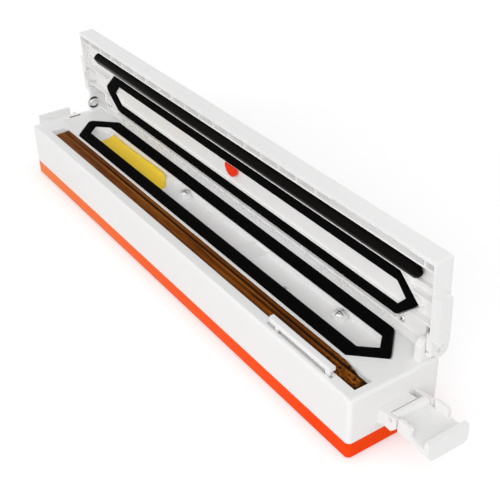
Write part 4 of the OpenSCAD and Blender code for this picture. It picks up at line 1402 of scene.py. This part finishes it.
class PlacedCopies:
    """Sets copies of one piece on points by geometry nodes, each turned about its axis."""

    SEED = 11

    def __init__(self) -> None:
        """Builds the node tree."""
        self.tree = self._tree()

    @staticmethod
    def _tree() -> bpy.types.NodeTree:
        """Writes the tree: points, copies with a seeded turn, one real mesh, one finish.

        Returns:
            The geometry nodes tree.
        """
        tree = bpy.data.node_groups.new("placed_copies", "GeometryNodeTree")
        sockets = (("Points", "Geometry"), ("Piece", "Object"), ("Axis", "Vector"),
                   ("Spread", "Float"), ("Seed", "Int"), ("Finish", "Material"))
        for label, kind in sockets:
            tree.interface.new_socket(name=label, in_out="INPUT",
                                      socket_type=f"NodeSocket{kind}")
        tree.interface.new_socket(name="Copies", in_out="OUTPUT",
                                  socket_type="NodeSocketGeometry")
        n = Nodes(tree)
        enter, leave = n.add("NodeGroupInput"), n.add("NodeGroupOutput")
        points = n.add("GeometryNodeMeshToPoints")
        source = n.add("GeometryNodeObjectInfo")
        chance = n.add("FunctionNodeRandomValue", data_type="FLOAT")
        turn = n.add("FunctionNodeAxisAngleToRotation")
        copies = n.add("GeometryNodeInstanceOnPoints")
        real = n.add("GeometryNodeRealizeInstances")
        paint = n.add("GeometryNodeSetMaterial")
        ends = {s.name: s for s in chance.inputs if s.type == "VALUE"}
        result = next(s for s in chance.outputs if s.type == "VALUE")
        n.link(n.math("MULTIPLY", enter.outputs["Spread"], -1.0), ends["Min"])
        n.link(enter.outputs["Spread"], ends["Max"])
        n.link(enter.outputs["Seed"], chance.inputs["Seed"])
        n.link(result, turn.inputs["Angle"])
        n.link(enter.outputs["Axis"], turn.inputs["Axis"])
        n.link(enter.outputs["Piece"], source.inputs["Object"])
        n.link(enter.outputs["Points"], points.inputs["Mesh"])
        n.link(points.outputs["Points"], copies.inputs["Points"])
        n.link(source.outputs["Geometry"], copies.inputs["Instance"])
        n.link(turn.outputs["Rotation"], copies.inputs["Rotation"])
        n.link(copies.outputs["Instances"], real.inputs["Geometry"])
        n.link(real.outputs["Geometry"], paint.inputs["Geometry"])
        n.link(enter.outputs["Finish"], paint.inputs["Material"])
        n.link(paint.outputs["Geometry"], leave.inputs["Copies"])
        return tree

    def build(self, name: str, piece: bpy.types.Object, places: Sequence[Point], axis: Vector,
              finish: Finish, body: str, spread: float = 0.0) -> bpy.types.Object:
        """Makes one mesh of all copies.

        Args:
            name: the new piece's name.
            piece: what is copied; it is removed from the scene.
            places: where the copies stand, in millimetres.
            axis: the axis that each copy turns about.
            finish: the finish that they get.
            body: the body that they ride on.
            spread: most that a copy turns either way, in radians.

        Returns:
            The finished piece.
        """
        mesh = bpy.data.meshes.new(name)
        mesh.from_pydata([tuple(c * MM for c in p) for p in places], [], [])
        obj = bpy.data.objects.new(name, mesh)
        bpy.context.scene.collection.objects.link(obj)
        modifier = obj.modifiers.new("copies", "NODES")
        modifier.node_group = self.tree
        values = {"Piece": piece, "Axis": tuple(axis), "Spread": spread, "Seed": self.SEED,
                  "Finish": MATERIALS[finish]}
        for item in self.tree.interface.items_tree:
            if item.in_out == "INPUT" and item.name in values:
                modifier[item.identifier] = values[item.name]
        graph = bpy.context.evaluated_depsgraph_get()
        made = bpy.data.meshes.new_from_object(obj.evaluated_get(graph))
        obj.modifiers.remove(modifier)
        obj.data = made
        obj.data.name = name
        bpy.data.meshes.remove(mesh)
        bpy.data.objects.remove(piece)
        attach(obj, body)
        return obj


def loose_mesh(name: str, verts: Sequence[Point], faces: Sequence[Face],
               painted_shade: Sequence[float] = ()) -> bpy.types.Object:
    """Makes the piece that copies are made of, around the origin.

    Args:
        name: its name while it lasts.
        verts: points in millimetres.
        faces: point numbers of each face.
        painted_shade: painted shade at each point, where its material reads it.

    Returns:
        The piece, which rides on nothing yet.
    """
    mesh = bpy.data.meshes.new(name)
    mesh.from_pydata([tuple(c * MM for c in v) for v in verts], [], faces)
    mesh.update()
    for polygon in mesh.polygons:
        polygon.use_smooth = True
    obj = bpy.data.objects.new(name, mesh)
    bpy.context.scene.collection.objects.link(obj)
    recalculate(obj)
    if painted_shade:
        point_values(obj, "painted_shade", painted_shade)
    return obj


def islands(node: str, gap: float = 8.0) -> list[tuple[Vector, Vector]]:
    """Finds the separate solids of a construction node that stand well apart.

    Args:
        node: the construction node.
        gap: least distance between two solids, and more than any within one, in millimetres.

    Returns:
        Lowest and highest corner of each, from left to right.
    """
    obj = frame["nodes"][node]
    groups = [[obj.matrix_world @ v.co / MM for v in obj.data.vertices]]
    for axis in (0, 1):
        finer = []
        for group in groups:
            group.sort(key=lambda p: p[axis])
            cuts = [i for i in range(1, len(group))
                    if group[i][axis] - group[i - 1][axis] > gap]
            finer += [group[a:b] for a, b in zip([0] + cuts, cuts + [len(group)])]
        groups = finer
    return [(Vector(map(min, zip(*g))), Vector(map(max, zip(*g)))) for g in groups]


@dataclass
class Fasteners:
    """Every set of cross-head screws, and the rubber feet."""

    place: LidPlace
    copies: PlacedCopies

    def screws(self, name: str, node: str, body: str, shape: ScrewShape, facing: Vector,
               sink: float, spread: float) -> bpy.types.Object:
        """Replaces a construction node of screws.

        Args:
            name: the new piece's name.
            node: the construction node.
            body: the body that they ride on.
            shape: the screw.
            facing: direction that the heads face.
            sink: distance from the head's top to the box's face, in millimetres.
            spread: most that a screw turns either way, in radians.

        Returns:
            The screws as one piece.
        """
        facing = facing.normalized()
        main_axis = max(range(3), key=lambda i: abs(facing[i]))
        spots = []
        for low, high in islands(node):
            reach = (high[main_axis] - low[main_axis]) / 2
            spots.append(tuple((low + high) / 2 + facing * (reach - shape.head_h - sink)))
        verts, faces, painted_shade = shape.solid(facing)
        piece = loose_mesh(name + "_one", verts, faces, painted_shade)
        made = self.copies.build(name, piece, spots, facing, Finish.STEEL, body,
                                 spread=spread)
        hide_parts(node)
        return made

    def feet(self) -> bpy.types.Object:
        """Replaces the four rubber feet with turned ones that have a ring groove below."""
        boxes = islands("rubber_feet")
        low, high = boxes[0]
        r, h = (high.x - low.x) / 2, high.z - low.z
        # Radius and height of each line: the round edges, the foot's rim, then the groove
        profile = [(0.0, h), (r - 0.2, h), (r, h - 0.2), (r, 0.5), (r - 0.15, 0.15),
                   (r - 0.6, 0.0), (r - 1.3, 0.0), (r - 1.5, 0.3), (r - 2.0, 0.3),
                   (r - 2.2, 0.0), (0.0, 0.0)]
        verts, faces = revolve(profile, 64, lambda x, y, z: (x, y, z))
        piece = loose_mesh("foot_one", verts, faces)
        spots = [((a.x + b.x) / 2, (a.y + b.y) / 2, a.z) for a, b in boxes]
        made = self.copies.build("turned_feet", piece, spots, Vector((0, 0, 1)), Finish.RUBBER,
                                 "housing")
        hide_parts("rubber_feet")
        return made

    def build(self) -> list[bpy.types.Object]:
        """Makes all of them and returns the pieces."""
        inwards = Vector(self.place.at(0, 0, -1)) - Vector(self.place.at(0, 0, 0))
        return [
            self.screws("channel_cross_screws", "channel_screws", "housing",
                        ScrewShape(head_r=3.2, head_h=1.5, shank_r=1.5, shank_l=17.0,
                                   cross_l=6.0, cross_w=0.7, cross_d=0.9, dome=0.6),
                        Vector((0, 0, 1)), sink=0.0, spread=0.12),
            self.screws("lid_cross_screws", "lid_screws", "lid",
                        ScrewShape(head_r=2.1, head_h=1.1, shank_r=0.9, shank_l=2.6,
                                   cross_l=2.8, cross_w=0.55, cross_d=0.5, dome=0.3),
                        inwards, sink=0.1, spread=1.2),
            self.screws("base_cross_screws", "base_screws", "housing",
                        ScrewShape(head_r=3.2, head_h=1.2, shank_r=1.5, shank_l=14.0,
                                   cross_l=3.8, cross_w=0.8, cross_d=0.7, dome=0.4),
                        Vector((0, 0, -1)), sink=0.0, spread=1.2),
            self.feet()]


@dataclass
class HingeStud:
    """Plated stud on the left hinge post: a grooved ring around a low dome."""

    body: str = "housing"
    seat: float = 1.5               # how far the ring's foot lies inside the node's end
    spokes: int = 72
    # Radius, height over the seat and painted shade of each line, from the dome to the shank
    lines: tuple[tuple[float, float, float], ...] = (
        (0.0, 1.45, 0.0), (1.1, 1.42, 0.0), (2.0, 1.3, 0.0), (2.7, 1.1, 0.0),
        (2.9, 0.8, 1.0), (3.0, 0.4, 1.0), (4.0, 0.4, 1.0), (4.1, 0.7, 1.0),
        (4.2, 0.95, 0.0), (4.35, 1.0, 0.0), (4.5, 0.9, 0.0), (4.6, 0.6, 0.0),
        (4.6, 0.05, 0.0), (4.5, 0.0, 0.0), (1.15, 0.0, 0.0), (1.15, -2.8, 0.0),
        (0.0, -2.8, 0.0))

    def build(self) -> bpy.types.Object:
        """Makes the stud, replaces its construction solid and returns it."""
        low, high = box_mm("hinge_screw")
        y, z = (low.y + high.y) / 2, (low.z + high.z) / 2
        seat = high.x - self.seat
        profile = [(r, h) for r, h, _ in self.lines]
        verts, faces = revolve(profile, self.spokes, lambda a, b, h: (seat + h, y + a, z + b))
        stud = mesh_object("hinge_stud", verts, faces, Finish.STEEL, self.body)
        recalculate(stud)
        # Painted shade and painted reflection: the groove is darkened only at its top and bottom arcs.
        painted_shade = []
        for _, _, painted_dark in self.lines[1:-1]:
            for k in range(self.spokes):
                side = abs(math.sin(2 * math.pi * k / self.spokes))
                painted_shade.append(painted_dark * ramp(side, 0.35, 0.85))
        point_values(stud, "painted_shade", painted_shade + [0.0, 0.0])
        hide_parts("hinge_screw")
        return stud


@dataclass
class KeyCap:
    """A round key on the lid's outer face, with a shallow dish for the finger."""

    name: str
    node: str
    body: str
    place: LidPlace
    height: float = 3.3
    flange_w: float = 1.0
    spokes: int = 72

    def build(self) -> bpy.types.Object:
        """Makes the cap, replaces its construction solid and returns it."""
        low, high = box_mm(self.node)
        out = Vector(self.place.at(0, 0, 1)) - Vector(self.place.at(0, 0, 0))
        turn = out.to_track_quat("Z", "Y").to_matrix()
        centre = (low + high) / 2
        flange = (high.x - low.x) / 2
        r, h = flange - self.flange_w, self.height
        foot = centre - out.normalized() * h / 2
        # Radius and height of each line: the dish, the round edge, then the flange
        profile = [(0.0, h - 0.35), (r * 0.4, h - 0.31), (r * 0.7, h - 0.14), (r - 0.75, h - 0.02),
                   (r - 0.35, h), (r - 0.1, h - 0.12), (r, h - 0.4), (r, 0.6), (flange, 0.6),
                   (flange, 0.0), (0.0, 0.0)]
        verts, faces = revolve(profile, self.spokes,
                               lambda x, y, z: tuple(foot + turn @ Vector((x, y, z))))
        cap = mesh_object(self.name, verts, faces, Finish.GREY, self.body)
        recalculate(cap)
        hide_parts(self.node)
        return cap


# ---------------------------------------------------------------- studio


@dataclass(frozen=True)
class Lamp:
    """A square soft lamp that faces the object, in metres and watts."""

    name: str
    place: Point
    watts: float
    aim: Point = (0.0, 0.0, 0.04)
    size: float = 0.9

    def build(self) -> None:
        """Hangs the lamp."""
        data = bpy.data.lights.new(self.name, "AREA")
        data.shape, data.size, data.energy = "SQUARE", self.size, self.watts
        obj = bpy.data.objects.new(self.name, data)
        bpy.context.scene.collection.objects.link(obj)
        obj.location = self.place
        way = Vector(self.aim) - Vector(self.place)
        obj.rotation_mode = "QUATERNION"
        obj.rotation_quaternion = way.to_track_quat("-Z", "Y")


@dataclass(frozen=True)
class Studio:
    """Camera, floor, world and lamps.

    The camera stands at a place in millimetres, and its angles are in degrees. The floor's
    size and its glow's reach are in metres.
    """

    camera_place: Point = (407.5, -231.4, 318.6)
    azimuth: float = 56.70
    elevation: float = 33.21
    roll: float = -1.586
    lens: float = 68.23
    sensor: float = 36.0
    clip: tuple[float, float] = (0.02, 50.0)
    floor_size: float = 6.0
    floor_tone: float = 0.8
    world_light: float = 0.62
    glow: tuple[float, float] = (0.34, 0.6)
    glow_reach: tuple[float, float] = (0.24, 0.6)
    lamps: tuple[Lamp, ...] = (
        Lamp("key", (0.95, -0.85, 0.7), 6.0),
        Lamp("front_fill", (0.1, -1.2, 0.55), 3.0),
        Lamp("side_fill", (1.25, 0.0, 0.45), 0.9),
        Lamp("top_fill", (0.1, -0.1, 1.3), 0.7),
        Lamp("back_fill", (-0.6, 1.15, 0.35), 3.2))

    def camera(self) -> bpy.types.Object:
        """Places the camera and returns it."""
        data = bpy.data.cameras.new("camera")
        data.lens, data.sensor_width = self.lens, self.sensor
        data.clip_start, data.clip_end = self.clip
        obj = bpy.data.objects.new("camera", data)
        bpy.context.scene.collection.objects.link(obj)
        a, e, r = (math.radians(v) for v in (self.azimuth, self.elevation, self.roll))
        back = Vector((math.sin(a) * math.cos(e), -math.cos(a) * math.cos(e), math.sin(e)))
        level = Vector((math.cos(a), math.sin(a), 0.0))
        rise = back.cross(level)
        right = level * math.cos(r) + rise * math.sin(r)
        up = rise * math.cos(r) - level * math.sin(r)
        turn = Matrix((right, up, back)).transposed().to_4x4()
        obj.matrix_world = Matrix.Translation(Vector(self.camera_place) * MM) @ turn
        bpy.context.scene.camera = obj
        return obj

    def floor(self) -> bpy.types.Object:
        """Makes the pale floor, lifted to white away from the object and its shadow."""
        half = self.floor_size / 2
        mesh = bpy.data.meshes.new("floor")
        mesh.from_pydata([(-half, -half, 0), (half, -half, 0), (half, half, 0), (-half, half, 0)],
                         [], [(0, 1, 2, 3)])
        obj = bpy.data.objects.new("floor", mesh)
        bpy.context.scene.collection.objects.link(obj)
        material = bpy.data.materials.new("floor_white")
        material.use_nodes = True
        material.node_tree.nodes.clear()
        n = Nodes(material.node_tree)
        out = n.add("ShaderNodeOutputMaterial")
        matte = n.add("ShaderNodeBsdfDiffuse")
        matte.inputs["Color"].default_value = (*(self.floor_tone,) * 3, 1.0)
        glow = n.add("ShaderNodeEmission")
        away = n.add("ShaderNodeVectorMath", operation="LENGTH")
        n.link(n.add("ShaderNodeTexCoord").outputs["Object"], away.inputs[0])
        strength = n.span(away.outputs["Value"], *self.glow_reach, *self.glow)
        n.link(n.math("MULTIPLY", n.seen_rays(), strength), glow.inputs["Strength"])
        both = n.add("ShaderNodeAddShader")
        n.link(matte.outputs["BSDF"], both.inputs[0])
        n.link(glow.outputs["Emission"], both.inputs[1])
        n.link(both.outputs["Shader"], out.inputs["Surface"])
        mesh.materials.append(material)
        return obj

    def world(self) -> None:
        """Sets a white world that lights the object evenly."""
        world = bpy.data.worlds.new("studio")
        bpy.context.scene.world = world
        world.use_nodes = True
        world.node_tree.nodes.clear()
        n = Nodes(world.node_tree)
        out = n.add("ShaderNodeOutputWorld")
        sky = n.add("ShaderNodeBackground")
        sky.inputs["Color"].default_value = (1.0, 1.0, 1.0, 1.0)
        n.link(n.span(n.seen_rays(), 0.0, 1.0, self.world_light, 1.0), sky.inputs["Strength"])
        n.link(sky.outputs["Background"], out.inputs["Surface"])

    def build(self) -> None:
        """Makes the whole studio."""
        scene = bpy.context.scene
        scene.view_settings.view_transform = "Standard"
        self.camera()
        self.floor()
        self.world()
        for lamp in self.lamps:
            lamp.build()


# ---------------------------------------------------------------- dressing and main


def dress_nodes() -> None:
    """Gives every construction node the finish of its record slot."""
    slots = {part["node"]: part["material_slot"] for part in frame["record"]["subparts"]}
    ribbed = RIBBED.make()
    for name, obj in frame["nodes"].items():
        material = ribbed if name == "lid_liner" else MATERIALS[Finish(slots[name])]
        data = obj.data
        if not data.materials:
            data.materials.append(material)
        for index in range(len(data.materials)):
            data.materials[index] = material


def main() -> None:
    """Builds the pieces in order, then the studio."""
    for finish, recipe in FINISHES.items():
        MATERIALS[finish] = recipe.make()
    dress_nodes()
    place = lid_place()
    made = Gaskets(place).build()
    made.append(HeaterStrip().build())
    made.append(CurledLabel().build())
    made.append(PressStrip(place).build())
    made.append(SlotShadeSheet().build())
    made += Fasteners(place, PlacedCopies()).build()
    made.append(HingeStud().build())
    for name in ("vacuum", "seal"):
        made.append(KeyCap(f"{name}_cap", f"{name}_button", f"{name}_key", place).build())
    for piece in made:
        LOG.info("%s: %d faces", piece.name, len(piece.data.polygons))
    Studio().build()


if __name__ == "__main__":
    main()
